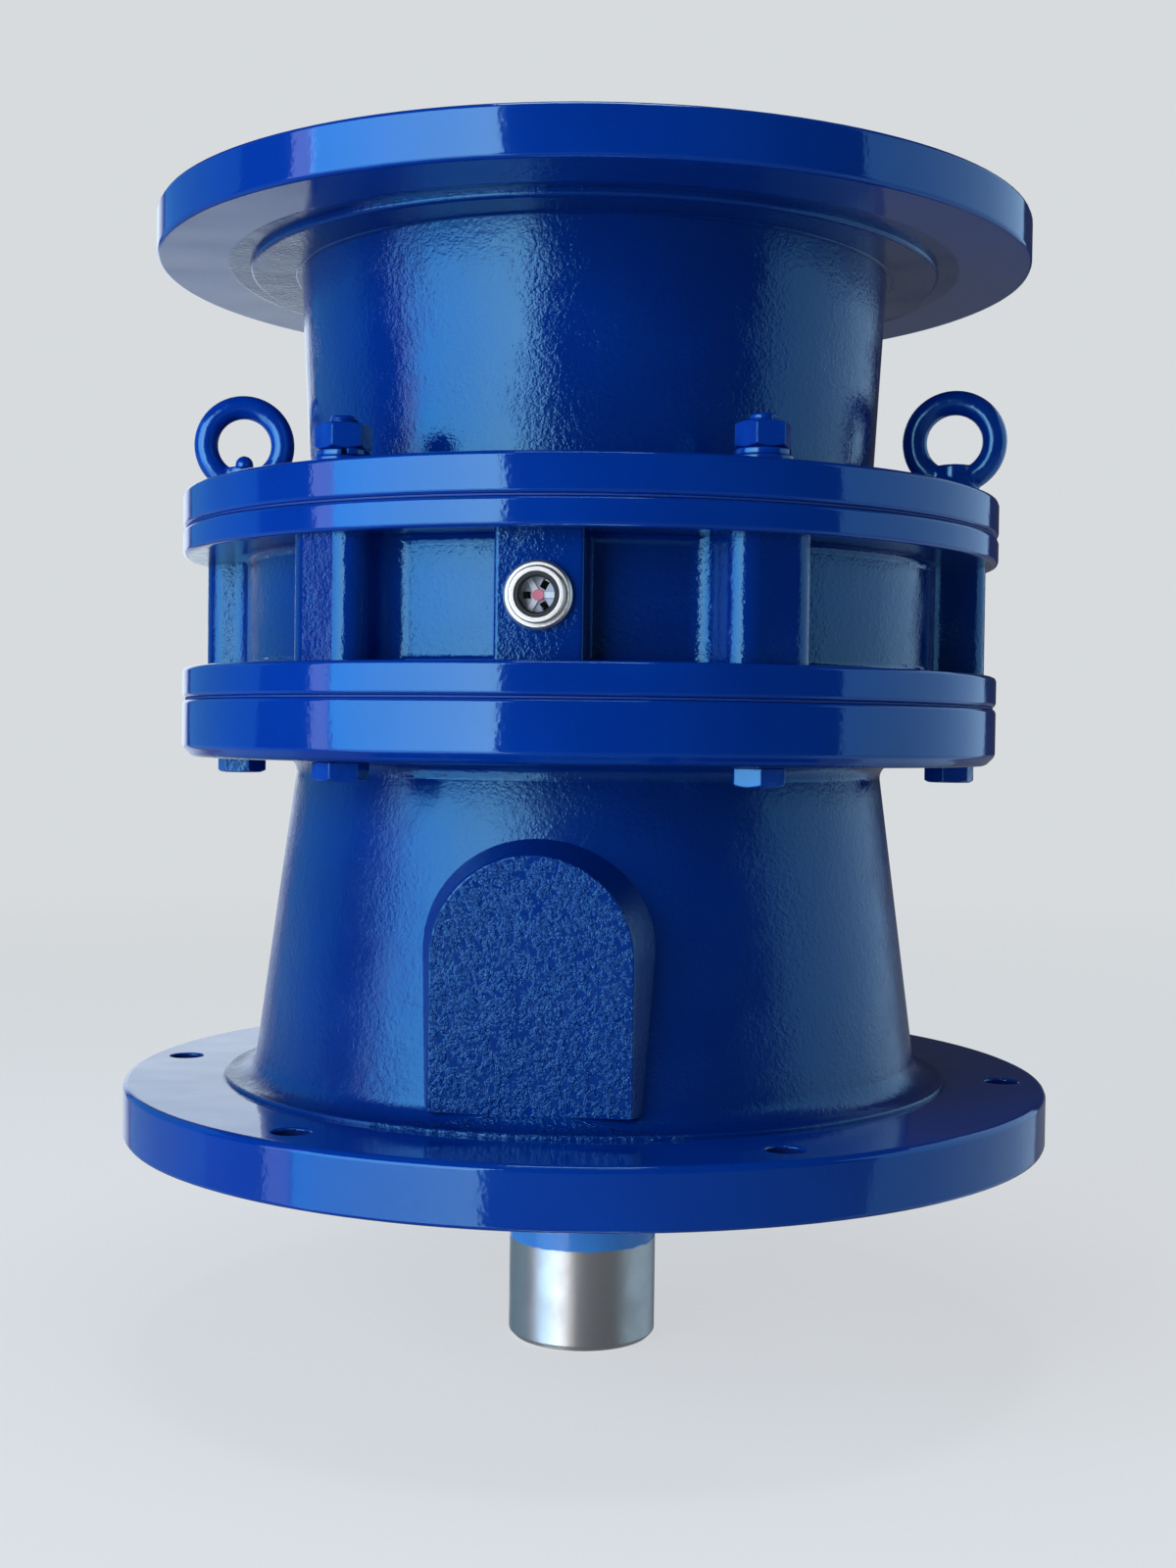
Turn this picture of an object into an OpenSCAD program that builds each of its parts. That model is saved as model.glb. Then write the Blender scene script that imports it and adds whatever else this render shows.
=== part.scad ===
// Vertical, flange-mounted cycloidal speed reducer with a motor adapter on top.
// Millimetres. The origin is the centre of the mounting face, +Z runs up to the motor flange,
// and the output shaft hangs down along -Z. The oil sight glass faces -Y.
// At rest the lower disc is thrown towards +X and the upper disc towards -X.

/* [Mounting flange] */
// Diameter of the mounting flange
mount_flange_d = 340; // [334:1:400]
// Thickness of the mounting flange
mount_flange_t = 20; // [14:0.5:22]
// Pitch circle diameter of the mounting holes
mount_pcd = 310; // [300:1:316]
// Diameter of each mounting hole
mount_hole_d = 12; // [9:0.5:16]
// Diameter of the locating spigot under the flange
spigot_d = 270; // [250:1:290]
// Height of the locating spigot
spigot_h = 4; // [3:0.5:8]
// Diameter of the turned ring on top of the flange
plinth_d = 267; // [258:1:290]
// Height of the turned ring on top of the flange
plinth_h = 1.5; // [0.5:0.1:3]

/* [Output housing] */
// Height of the output housing above the mounting face
housing_h = 157; // [150:1:200]
// Diameter of the cone where it meets the mounting flange
cone_foot_d = 247; // [240:1:254]
// Diameter of the cone where it meets the top flange
cone_head_d = 216; // [210:1:226]
// Wall thickness of the cone
cone_wall = 10; // [8:0.5:12]
// Diameter of the joined flanges in the middle of the body
body_flange_d = 300; // [296:1:340]
// Thickness of the output housing's top flange
housing_flange_t = 20.5; // [14:0.5:24]
// Chamfer under the output housing's top flange
housing_flange_chamfer = 3.5; // [1:0.5:5]
// Radius of the fillet at the foot of the cone
cone_foot_fillet = 8; // [3:0.5:9]
// Half width of the arched pad's face on the front of the cone
pad_r = 33; // [20:1:36]
// Distance of the pad's flat face from the main axis
pad_reach = 123.5; // [122:0.5:128]
// Draft angle of the pad's walls
pad_draft = 20; // [10:1:30]

/* [Ring gear housing] */
// Height of the ring gear housing
ring_h = 60.5; // [58:0.5:80]
// Thickness of its lower rim
ring_lower_rim_t = 11; // [8:0.5:14]
// Thickness of its upper rim
ring_upper_rim_t = 9.5; // [8:0.5:14]
// Diameter of the waist between the two rims
ring_waist_d = 254; // [250:1:258]
// Width of each bolt post
post_w = 29; // [26:0.5:34]
// Diameter over the bolt posts
post_d = 291; // [284:1:296]
// Radius of the posts' corners and root fillets
post_r = 8; // [4:0.5:9]
// Radius of the fillets above and below the waist
waist_fillet = 3; // [1:0.5:5]

/* [Motor adapter] */
// Height of the motor adapter
adapter_h = 113.5; // [108:0.5:160]
// Thickness of the adapter's lower flange
adapter_flange_t = 13; // [12:0.5:16]
// Diameter of the barrel at the lower flange
barrel_foot_d = 208; // [206:1:214]
// Diameter of the barrel under the motor flange
barrel_head_d = 217; // [214:1:222]
// Wall thickness of the barrel
barrel_wall = 9; // [7:0.5:10]
// Diameter of the collar that ends the barrel
collar_d = 224; // [222:1:232]
// Diameter of the motor flange
motor_flange_d = 320; // [300:1:360]
// Thickness of the motor flange
motor_flange_t = 16.5; // [15:0.5:20]
// Pitch circle diameter of the motor's screws
motor_pcd = 265; // [262:1:275]
// Diameter of each tapped motor hole
motor_hole_d = 10.4; // [8:0.1:14]
// Depth of each tapped motor hole
motor_hole_depth = 13; // [8:0.5:14]
// Diameter of the bore that centres the motor
motor_spigot_d = 230; // [220:1:238]
// Depth of the bore that centres the motor
motor_spigot_depth = 6; // [4:0.5:8]

/* [Cycloid gearing] */
// Number of ring pins, one more than the lobes of each disc
ring_pin_count = 18; // [18:1:20]
// Diameter of the circle of ring pins
pin_circle_d = 220; // [218:1:221]
// Diameter of each ring pin
ring_pin_d = 11; // [8:0.5:12]
// Diameter of the rolling sleeve on each ring pin
ring_sleeve_d = 16; // [14:0.5:16.5]
// Throw of each eccentric
throw = 4; // [3:0.25:4.25]
// Thickness of each cycloid disc
disc_t = 20; // [16:0.5:21]
// Gap between the two discs
disc_gap = 5; // [3:0.5:6]
// Running room between a disc's lobes and the sleeves
lobe_play = 0.2; // [0.15:0.05:0.3]
// Diameter of each eccentric's roller track
eccentric_d = 54; // [50:0.5:58]
// Number of rollers on each eccentric
eccentric_rollers = 12; // [8:1:12]
// Diameter of those rollers
eccentric_roller_d = 14; // [12:0.5:14]

/* [Output] */
// Diameter of the output shaft
output_shaft_d = 55; // [50:1:58]
// Length of the output shaft below the mounting face
output_shaft_l = 80; // [60:1:120]
// Width of the output shaft's keyway
output_key_w = 16; // [12:1:18]
// Depth of the output shaft's keyway
output_key_depth = 6; // [4:0.5:7]
// Length of the output shaft's keyway
output_key_l = 63; // [40:1:75]
// Angle of the output shaft's keyway from the +X side at rest
output_key_angle = 60; // [0:5:355]
// Number of output pins
output_pin_count = 10; // [6:2:10]
// Diameter of the circle of output pins
output_pin_circle_d = 134; // [128:1:140]
// Diameter of each output pin
output_pin_d = 14; // [10:0.5:15]
// Diameter of the roller on each output pin
output_roller_d = 20; // [17:0.5:21]

/* [Input] */
// Diameter of the bore that takes the motor shaft
motor_bore_d = 38; // [32:1:40]
// Depth of the bore that takes the motor shaft
motor_bore_depth = 79; // [60:1:80]
// Width of the keyway in the motor shaft bore
motor_key_w = 10; // [8:1:12]
// Depth of the keyway in the motor shaft bore
motor_key_depth = 3.3; // [2.5:0.1:4]
// Diameter of the hub that holds the motor shaft bore
hub_d = 60; // [56:1:60]
// Distance from the motor face down to the hub
hub_drop = 7; // [4:0.5:12]

/* [Fasteners] */
// Number of housing bolts and of mounting holes
bolt_count = 6; // [6:1:6]
// Pitch circle diameter of the housing bolts
bolt_pcd = 268; // [267:1:270]
// Diameter of each housing bolt
bolt_d = 10; // [8:1:10]
// Width across flats of the bolt heads and nuts
bolt_af = 16; // [13:1:17]
// Outer radius of each lifting ring
eye_r = 19; // [16:0.5:22]
// Thickness of each lifting ring's bar
eye_bar = 9; // [7:0.5:10]

/* [Hidden] */
$fn = 48;

blue = [0.02, 0.21, 0.58];
steel = [0.66, 0.67, 0.69];
hard_steel = [0.78, 0.79, 0.80];
dark_steel = [0.30, 0.31, 0.33];
rubber = [0.06, 0.06, 0.07];
paper = [0.45, 0.44, 0.36];

// Clearances
seat = 0.02;          // between pieces that are pressed or bolted together
run = 0.05;           // between pieces that turn on each other
bolt_room = 1;        // a bolt hole's diameter over its bolt
gasket_t = 0.5;
edge = 1;             // chamfer on machined rims

// Levels of the housings' joint faces
ring_z = housing_h + gasket_t;
ring_top = ring_z + ring_h;
adapter_z = ring_top + gasket_t;
adapter_flange_top = adapter_z + adapter_flange_t;
motor_face = adapter_z + adapter_h;
motor_flange_z = motor_face - motor_flange_t;
housing_flange_z = housing_h - housing_flange_t;

// Gearing
lobes = ring_pin_count - 1;
pin_circle_r = pin_circle_d / 2;
sleeve_r = ring_sleeve_d / 2;
recess_r = pin_circle_r + sleeve_r + 1;            // room behind the sleeves
land_r = pin_circle_r - sleeve_r + throw + 1;      // lets a disc pass to its place
recess_z = ring_z + 6;
recess_top = ring_top - 6;
disc_z = (recess_z + recess_top - 2 * disc_t - disc_gap) / 2;
upper_disc_z = disc_z + disc_t + disc_gap;
track_r = eccentric_d / 2;
roller_r = eccentric_roller_d / 2;
roller_circle_r = track_r + roller_r + run;
disc_bore_r = roller_circle_r + roller_r + run;
output_pin_circle_r = output_pin_circle_d / 2;
output_roller_r = output_roller_d / 2;
disc_hole_r = output_roller_r + throw + 0.15;
cage_gap = 0.2;

// Output shaft and its bearings: [inner diameter, outer diameter, width, balls]
lower_bearing = [65, 120, 23, 9];
upper_bearing = [75, 130, 25, 10];
cover_t = 12;
cover_d = 160;
cover_screws = 6;
cover_screw_r = 4;
cover_screw_pcd = 138;
cover_screw_tip = 20;
cover_head_z = -3.7;
lower_bearing_z = cover_t - spigot_h + 6.5;
upper_bearing_z = housing_flange_z - 6 - upper_bearing[2];
bearing_lip = 4.5;
seal_shaft_d = 60;
seal_d = 90;
seal_top = 6;
pin_flange_d = 168;
pin_flange_z = housing_flange_z - 2.5;
pin_flange_top = disc_z - 3;
pin_tip_z = recess_top + 0.8;
centre_hole_d = 17;

// Input shaft and its bearings
input_bearing = [45, 85, 19, 9];
pilot_bearing = [30, 62, 16, 9];
input_bearing_z = adapter_z + 3.5;
input_bearing_top = input_bearing_z + input_bearing[2];
bearing_boss_d = 124;
input_cover_t = 9;
input_seal_d = 80;
eccentric_bore_d = 35;
hub_top = motor_face - hub_drop;
pilot_z = pin_flange_top - 3 - pilot_bearing[2];
web_t = 11.5;
circlip_t = 1.75;
screw_pcd = 104;

shoulder_z = recess_top;
eccentric_key_w = 10;
key_l = 36;
input_cover_screws = 6;
input_screw_r = 3;

// Housing bolts
bolt_circle_r = bolt_pcd / 2;
bolt_head_h = 6.4;
flat_washer_t = 2;
spring_washer_t = 2.5;
nut_z = adapter_flange_top + flat_washer_t + spring_washer_t;
nut_h = 8.4;
bolt_tip = 2.5;
eye_foot_r = 10.5;
eye_z = adapter_flange_top + 4.5 + eye_r;
eye_foot_top = eye_z - eye_r + eye_bar + 1.5;
eye_pilot_r = 3.4;
eye_pilot_h = 4.5;

// Collar under the motor flange, and the arched pad
collar_h = 3;
collar_ring_d = 254;
pad_arch_z = 75;
pad_turn = -1.6;

// Sight glass
glass_z = (ring_z + ring_lower_rim_t + ring_top - ring_upper_rim_t) / 2;
glass_boss_w = 28;
glass_boss_reach = 140;
glass_r = 10.75;
glass_bore_r = 7;

// Oil plugs
plug_thread_r = 8;
plug_af = 17;
drain_z = 42;
drain_reach = 128;

function cone_r(z) = let (low = mount_flange_t, high = housing_flange_z)
    (cone_foot_d + (cone_head_d - cone_foot_d) * (z - low) / (high - low)) / 2;
function barrel_r(z) = let (low = adapter_flange_top, high = motor_flange_z)
    (barrel_foot_d + (barrel_head_d - barrel_foot_d) * (z - low) / (high - low)) / 2;

// One point of a disc's flank: the curve that stays tangent to the ring's sleeves
function flank(t) =
    let (play_r = sleeve_r + lobe_play, n = ring_pin_count,
        turn = atan2(sin((1 - n) * t), pin_circle_r / (throw * n) - cos((1 - n) * t)))
    [pin_circle_r * cos(t) - play_r * cos(t + turn) - throw * cos(n * t),
     -pin_circle_r * sin(t) + play_r * sin(t + turn) + throw * sin(n * t)];

// Draws a flank's points together in the valleys, where it curves most, by this share
crowding = 0.8;
function crowded(t) = t - crowding * sin(lobes * t) / lobes * 180 / PI;

// Places copies of its child on a circle
module around(count, r, start = 0)
    for (i = [0:count - 1]) rotate(start + i * 360 / count) translate([r, 0, 0]) children();

// Outline of a flat round plate with chamfered outer edges
module plate_outline(r, low, high, low_edge, high_edge)
    polygon([[0, low], [r - low_edge, low], [r, low + low_edge], [r, high - high_edge],
        [r - high_edge, high], [0, high]]);

// Outline that rounds the corner between a wall and the flat face at z: up = 1 for a floor,
// -1 for a ceiling. The wall has radius r at z and narrows by slope with each millimetre up.
module corner_outline(r, z, slope, fillet, up) {
    lean = atan(slope);
    centre = [r - up * slope * fillet + fillet / cos(lean), z + up * fillet];
    touch = centre - fillet * [cos(lean), sin(lean)];
    low = up > 0 ? z - 1 : touch[1];
    high = up > 0 ? touch[1] : z + 1;
    difference() {
        translate([touch[0] - 3, low]) square([centre[0] - touch[0] + 3, high - low]);
        translate(centre) circle(fillet);
    }
}

module tube(outer_r, inner_r, h) {
    difference() {
        cylinder(r = outer_r, h = h);
        translate([0, 0, -1]) cylinder(r = inner_r, h = h + 2);
    }
}

// A hexagon with its corners turned off at the top, and at the bottom too where both is set
module hexagon(af, h, both = false) {
    corner_r = af / sqrt(3);
    bevel = corner_r - af / 2 * 0.97;
    drop = bevel * 0.58;
    intersection() {
        cylinder(r = corner_r, h = h, $fn = 6);
        rotate_extrude() polygon([[0, 0], [corner_r - (both ? bevel : 0), 0],
            [corner_r, both ? drop : 0], [corner_r, h - drop], [corner_r - bevel, h], [0, h]]);
    }
}

module output_housing() {
    slope = (cone_foot_d - cone_head_d) / 2 / (housing_flange_z - mount_flange_t);
    deck = mount_flange_t + plinth_h;
    lower_top = lower_bearing_z + lower_bearing[2];
    upper_top = upper_bearing_z + upper_bearing[2];
    lower_bore_r = lower_bearing[1] / 2 + seat;
    upper_bore_r = upper_bearing[1] / 2 + seat;
    boss_r = lower_bore_r + 14;
    floor_z = mount_flange_t + 4;
    web_z = upper_bearing_z - 2 * bearing_lip;
    color(blue) difference() {
        union() {
            rotate_extrude() difference() {
                union() {
                    plate_outline(mount_flange_d / 2, 0, mount_flange_t, edge, edge * 1.5);
                    plate_outline(spigot_d / 2, -spigot_h, 1, edge, 0);
                    plate_outline(plinth_d / 2, mount_flange_t - 1, deck, 0, 0.5);
                    polygon([[0, deck - 1], [cone_r(deck - 1), deck - 1],
                        [cone_r(housing_flange_z + 1), housing_flange_z + 1], [0, housing_flange_z + 1]]);
                    corner_outline(cone_r(deck), deck, slope, cone_foot_fillet, 1);
                    corner_outline(cone_r(housing_flange_z), housing_flange_z, slope, 5, -1);
                    plate_outline(body_flange_d / 2, housing_flange_z, housing_h,
                        housing_flange_chamfer, edge);
                }
                translate([0, -spigot_h - 1]) square([cover_d / 2 + seat, cover_t + 1]);
                square([lower_bore_r, lower_top]);
                polygon([[0, lower_top - 1], [lower_bore_r - bearing_lip, lower_top - 1],
                    [lower_bore_r - bearing_lip, lower_top + bearing_lip],
                    [boss_r, lower_top + bearing_lip], [boss_r + 2, floor_z],
                    [cone_r(floor_z) - cone_wall - 3, floor_z],
                    [cone_r(web_z + 16) - cone_wall, web_z + 16],
                    [upper_bore_r + 13, web_z], [0, web_z]]);
                translate([0, web_z - 1]) square([upper_bore_r - bearing_lip, upper_top - web_z]);
                translate([0, upper_bearing_z]) square([upper_bore_r, upper_bearing[2] + 1]);
                translate([0, upper_top]) square([pin_flange_d / 2 + 15, housing_h]);
            }
            difference() {
                union() {
                    rotate(pad_turn) arched_pad();
                    translate([0, 0, drain_z]) rotate([-90, 0, 0]) cylinder(r = 15, h = drain_reach);
                }
                cylinder(r1 = cone_r(0) - cone_wall / 2, r2 = cone_r(housing_h) - cone_wall / 2,
                    h = housing_h);
            }
        }
        around(bolt_count, mount_pcd / 2) translate([0, 0, -1])
            cylinder(d = mount_hole_d, h = mount_flange_t + 2);
        around(bolt_count, bolt_circle_r) translate([0, 0, housing_flange_z - 1])
            cylinder(d = bolt_d + bolt_room, h = housing_flange_t + 2);
        around(cover_screws, cover_screw_pcd / 2) cylinder(r = cover_screw_r, h = cover_screw_tip + 2);
        translate([0, cone_r(drain_z) - 20, drain_z]) rotate([-90, 0, 0])
            cylinder(r = plug_thread_r, h = 40);
    }
}

// The raised pad: its walls slope, and its arch is a cone lying on its side
module arched_pad() {
    depth = 30;
    spread = depth * tan(pad_draft);
    back = pad_reach - depth;
    foot_z = mount_flange_t + plinth_h + 3.5;
    translate([0, 0, pad_arch_z]) rotate([90, 0, 0]) translate([0, 0, back])
        cylinder(r1 = pad_r + spread, r2 = pad_r, h = depth);
    translate([0, 0, foot_z]) linear_extrude(pad_arch_z - foot_z)
        polygon([[-pad_r - spread, -back], [pad_r + spread, -back], [pad_r, -pad_reach],
            [-pad_r, -pad_reach]]);
}

// Plan of a rib that stands out from the ring gear housing's waist along +X, with round
// outer corners and round roots
module rib_outline(w, reach, corner, root) {
    half = w / 2;
    waist_r = ring_waist_d / 2;
    root_x = sqrt(pow(waist_r + root, 2) - pow(half + root, 2));
    translate([waist_r - 4, -half]) square([reach - corner - waist_r + 4, w]);
    translate([waist_r - 4, corner - half]) square([reach - waist_r + 4, w - 2 * corner]);
    for (side = [-1, 1]) {
        root_centre = [root_x, side * (half + root)];
        touch = root_centre * waist_r / (waist_r + root);
        translate([reach - corner, side * (half - corner)]) circle(corner);
        difference() {
            polygon([[waist_r - 4, side * (half - 1)], [root_x, side * (half - 1)], root_centre,
                touch, touch * 0.97]);
            translate(root_centre) circle(root);
        }
    }
}

module ring_gear_housing() {
    waist_r = ring_waist_d / 2;
    low = ring_z + ring_lower_rim_t;
    high = ring_top - ring_upper_rim_t;
    color(blue) difference() {
        union() {
            rotate_extrude() difference() {
                union() {
                    plate_outline(body_flange_d / 2, ring_z, low, edge, edge);
                    plate_outline(body_flange_d / 2, high, ring_top, edge, edge);
                    translate([0, low - 1]) square([waist_r, high - low + 2]);
                    corner_outline(waist_r, low, 0, waist_fillet, 1);
                    corner_outline(waist_r, high, 0, waist_fillet, -1);
                }
                translate([0, ring_z - 1]) square([land_r, ring_h + 2]);
                translate([0, recess_z]) square([recess_r, recess_top - recess_z]);
            }
            translate([0, 0, low - 1]) linear_extrude(high - low + 2) {
                around(bolt_count, 0) rib_outline(post_w, post_d / 2, post_r, post_r);
                rotate(-90) rib_outline(glass_boss_w, glass_boss_reach, 1.5, 3);
                rotate(90) rib_outline(glass_boss_w, glass_boss_reach, 1.5, 3);
            }
        }
        around(ring_pin_count, pin_circle_r) translate([0, 0, ring_z - 1])
            cylinder(d = ring_pin_d, h = ring_h + 2);
        around(bolt_count, bolt_circle_r) translate([0, 0, ring_z - 1])
            cylinder(d = bolt_d + bolt_room, h = ring_h + 2);
        for (side = [-90, 90]) translate([0, 0, glass_z]) rotate([side, 0, 0])
            translate([0, 0, recess_r - 4]) cylinder(r = plug_thread_r, h = 30);
    }
}

module motor_adapter() {
    slope = (barrel_foot_d - barrel_head_d) / 2 / (motor_flange_z - adapter_flange_top);
    web_top = adapter_z + web_t;
    color(blue) difference() {
        rotate_extrude() difference() {
            union() {
                plate_outline(body_flange_d / 2, adapter_z, adapter_flange_top, edge, edge);
                polygon([[0, adapter_flange_top - 1],
                    [barrel_r(adapter_flange_top - 1), adapter_flange_top - 1],
                    [barrel_r(motor_flange_z + 1), motor_flange_z + 1], [0, motor_flange_z + 1]]);
                corner_outline(barrel_r(adapter_flange_top), adapter_flange_top, slope, 3, 1);
                plate_outline(collar_d / 2, motor_flange_z - collar_h, motor_flange_z + 1, 2, 0);
                plate_outline(collar_ring_d / 2, motor_flange_z - 2.5, motor_flange_z + 1, edge, 0);
                plate_outline(motor_flange_d / 2, motor_flange_z, motor_face, edge, edge);
            }
            polygon([[0, input_bearing_top], [bearing_boss_d / 2, input_bearing_top],
                [bearing_boss_d / 2 + 2, web_top], [barrel_r(web_top) - barrel_wall, web_top],
                [barrel_r(motor_flange_z) - barrel_wall, motor_flange_z],
                [barrel_r(motor_flange_z) - barrel_wall, motor_face + 1], [0, motor_face + 1]]);
            translate([0, adapter_z - 1]) square([input_bearing[1] / 2 - bearing_lip, 30]);
            translate([0, input_bearing_z])
                square([input_bearing[1] / 2 + seat, input_bearing[2] + 1]);
            translate([0, motor_face - motor_spigot_depth]) square([motor_spigot_d / 2, 10]);
        }
        around(4, motor_pcd / 2, 45) translate([0, 0, motor_face - motor_hole_depth])
            cylinder(d = motor_hole_d, h = motor_hole_depth + 1);
        around(bolt_count, bolt_circle_r) translate([0, 0, adapter_z - 1])
            cylinder(d = bolt_d + bolt_room, h = adapter_flange_t + 2);
        around(input_cover_screws, screw_pcd / 2) translate([0, 0, input_bearing_top - 14])
            cylinder(r = input_screw_r, h = 15);
    }
}

module gasket(z) {
    color(paper) translate([0, 0, z]) difference() {
        tube(body_flange_d / 2 - edge, pin_flange_d / 2 + 17, gasket_t);
        around(bolt_count, bolt_circle_r) translate([0, 0, -1])
            cylinder(d = bolt_d + bolt_room, h = gasket_t + 2);
    }
}

module lower_gasket() gasket(housing_h);
module upper_gasket() gasket(ring_top);

// One housing bolt: the head under the output housing's flange, the end at height tip
module housing_bolt(tip) {
    translate([0, 0, housing_flange_z]) mirror([0, 0, 1]) hexagon(bolt_af, bolt_head_h);
    translate([0, 0, housing_flange_z - 1]) rotate_extrude() polygon([[0, 0], [bolt_d / 2, 0],
        [bolt_d / 2, tip - housing_flange_z], [bolt_d / 2 - edge, tip - housing_flange_z + 1],
        [0, tip - housing_flange_z + 1]]);
}

// The two bolts under the lifting rings end flush with the rings' feet, the left one in a
// round-nosed pilot
module housing_bolts() {
    color(blue) for (i = [0:bolt_count - 1]) rotate(i * 360 / bolt_count)
        translate([bolt_circle_r, 0, 0]) rotate(12 + 17 * i)
            housing_bolt(i % (bolt_count / 2) == 0 ? eye_foot_top : nut_z + nut_h + bolt_tip);
    color(blue) translate([-bolt_circle_r, 0, eye_foot_top - 1]) {
        cylinder(r = eye_pilot_r, h = eye_pilot_h + 1 - eye_pilot_r);
        translate([0, 0, eye_pilot_h + 1 - eye_pilot_r]) sphere(eye_pilot_r);
    }
}

// Places its child at every housing bolt that carries a plain nut
module at_plain_bolts() {
    for (i = [0:bolt_count - 1]) if (i % (bolt_count / 2) != 0) rotate(i * 360 / bolt_count)
        translate([bolt_circle_r, 0, 0]) children();
}

module flat_washers() {
    color(blue) at_plain_bolts() translate([0, 0, adapter_flange_top])
        tube(bolt_d, bolt_d / 2 + 0.25, flat_washer_t);
}

module spring_washers() {
    color(blue) at_plain_bolts() translate([0, 0, adapter_flange_top + flat_washer_t])
        rotate(40) difference() {
            tube(bolt_d / 2 + 4, bolt_d / 2 + 0.25, spring_washer_t);
            translate([0, -0.5, -1]) cube([bolt_d, 1, spring_washer_t + 2]);
        }
}

module housing_nuts() {
    color(blue) at_plain_bolts() translate([0, 0, nut_z]) rotate(20) difference() {
        hexagon(bolt_af, nut_h, true);
        translate([0, 0, -1]) cylinder(r = bolt_d / 2 + seat, h = nut_h + 2);
    }
}

// A nut with a lifting ring: a turned foot under a round bar bent to a ring
module eye_nut() {
    ring_r = eye_r - eye_bar / 2;
    difference() {
        union() {
            translate([0, 0, eye_z]) rotate([90, 0, 0]) rotate_extrude()
                translate([ring_r, 0]) circle(d = eye_bar);
            translate([0, 0, adapter_flange_top]) rotate_extrude() polygon([[0, 0],
                [eye_foot_r - edge, 0], [eye_foot_r, edge], [eye_foot_r, 3], [eye_foot_r - 3.5, 10],
                [eye_foot_r - 3.5, eye_foot_top - adapter_flange_top],
                [0, eye_foot_top - adapter_flange_top]]);
        }
        cylinder(r = bolt_d / 2 + seat, h = eye_z);
    }
}

module eye_nut_left() color(blue) translate([-bolt_circle_r, 0, 0]) rotate(12) eye_nut();
module eye_nut_right() color(blue) translate([bolt_circle_r, 0, 0]) rotate(-8) eye_nut();

// Places its child at the sight glass: local z points out of the boss, zero is the boss's face
module at_glass() translate([0, -glass_boss_reach, glass_z]) rotate([90, 0, 0]) children();

module sight_glass_body() {
    color(hard_steel) at_glass() rotate_extrude() polygon([[glass_bore_r - 2, -14],
        [plug_thread_r - seat, -14], [plug_thread_r - seat, 0], [glass_r, 0], [glass_r, 1.6],
        [glass_r - 0.8, 2.4], [glass_r - 1.8, 2.4], [glass_r - 1.8, 4], [glass_r - 2.3, 4.5],
        [glass_bore_r + seat, 4.5], [glass_bore_r + seat, -2], [glass_bore_r - 2, -2]]);
}

module sight_glass_seal() {
    color(rubber) at_glass() translate([0, 0, 2.6]) rotate_extrude() polygon([[glass_bore_r - 1.6, 0],
        [glass_bore_r, 0], [glass_bore_r, 1.5], [glass_bore_r - 1, 1.5], [glass_bore_r - 1.6, 0.9]]);
}

module sight_glass_window() {
    color([0.8, 0.88, 0.9, 0.4]) at_glass() translate([0, 0, 0.6])
        cylinder(r = glass_bore_r, h = 2);
}

// The reflector behind the glass: a disc with three slots, and three arms that stand on it
module sight_glass_reflector() {
    color([0.85, 0.86, 0.86]) at_glass() translate([0, 0, -1.9]) difference() {
        union() {
            cylinder(r = glass_bore_r, h = 1);
            intersection() {
                cylinder(r = glass_bore_r - 0.5, h = 1.8);
                for (i = [0:2]) rotate(i * 120) translate([0, -0.9, 0]) cube([glass_r, 1.8, 1.8]);
            }
        }
        for (i = [0:2]) rotate(60 + i * 120) translate([2.4, -1.1, -1]) cube([3.2, 2.2, 4]);
        translate([0, 0, 1]) cylinder(r = 1.8, h = 2);
    }
}

module sight_glass_dot() {
    color([0.8, 0.05, 0.05]) at_glass() translate([0, 0, -0.9]) cylinder(r = 1.75, h = 1.2);
}

// A screwed plug with a collar and a hexagon, along +Z from the face it seals
module oil_plug() {
    translate([0, 0, -12]) cylinder(r = plug_thread_r - seat, h = 13);
    rotate_extrude() plate_outline(plug_thread_r + 3.5, 0, 3, 0, 0.6);
    translate([0, 0, 2]) hexagon(plug_af, 8);
}

module filler_plug() {
    color(dark_steel) translate([0, glass_boss_reach, glass_z]) rotate([-90, 0, 0]) difference() {
        oil_plug();
        translate([0, 0, -13]) cylinder(r = 1.5, h = 30);
    }
}

module drain_plug() color(dark_steel) translate([0, drain_reach, drain_z]) rotate([-90, 0, 0])
    oil_plug();

module ring_pins() {
    color(hard_steel) around(ring_pin_count, pin_circle_r) translate([0, 0, ring_z + 0.2])
        cylinder(r = ring_pin_d / 2 - seat, h = ring_h - 0.4);
}

module ring_sleeves() {
    color(hard_steel) around(ring_pin_count, pin_circle_r) translate([0, 0, recess_z + 0.2])
        tube(sleeve_r, ring_pin_d / 2 + run, recess_top - recess_z - 0.4);
}

// A disc about its own axis, with a valley between two lobes at +X
module cycloid_disc() {
    steps = lobes * 16;
    difference() {
        linear_extrude(disc_t) polygon([for (i = [0:steps - 1]) flank(crowded(i * 360 / steps))]);
        translate([0, 0, -1]) cylinder(r = disc_bore_r, h = disc_t + 2);
        around(output_pin_count, output_pin_circle_r, 180 / output_pin_count)
            translate([0, 0, -1]) cylinder(r = disc_hole_r, h = disc_t + 2);
    }
}

module cycloid_disc_lower() color(steel) translate([throw, 0, disc_z]) cycloid_disc();
module cycloid_disc_upper() color(steel) rotate(180) translate([throw, 0, upper_disc_z])
    cycloid_disc();

module disc_spacer() {
    inner_r = output_pin_circle_r + output_roller_r + 0.3;
    color(steel) translate([0, 0, disc_z + disc_t + cage_gap])
        tube(inner_r + 14, inner_r, disc_gap - 2 * cage_gap);
}

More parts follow.
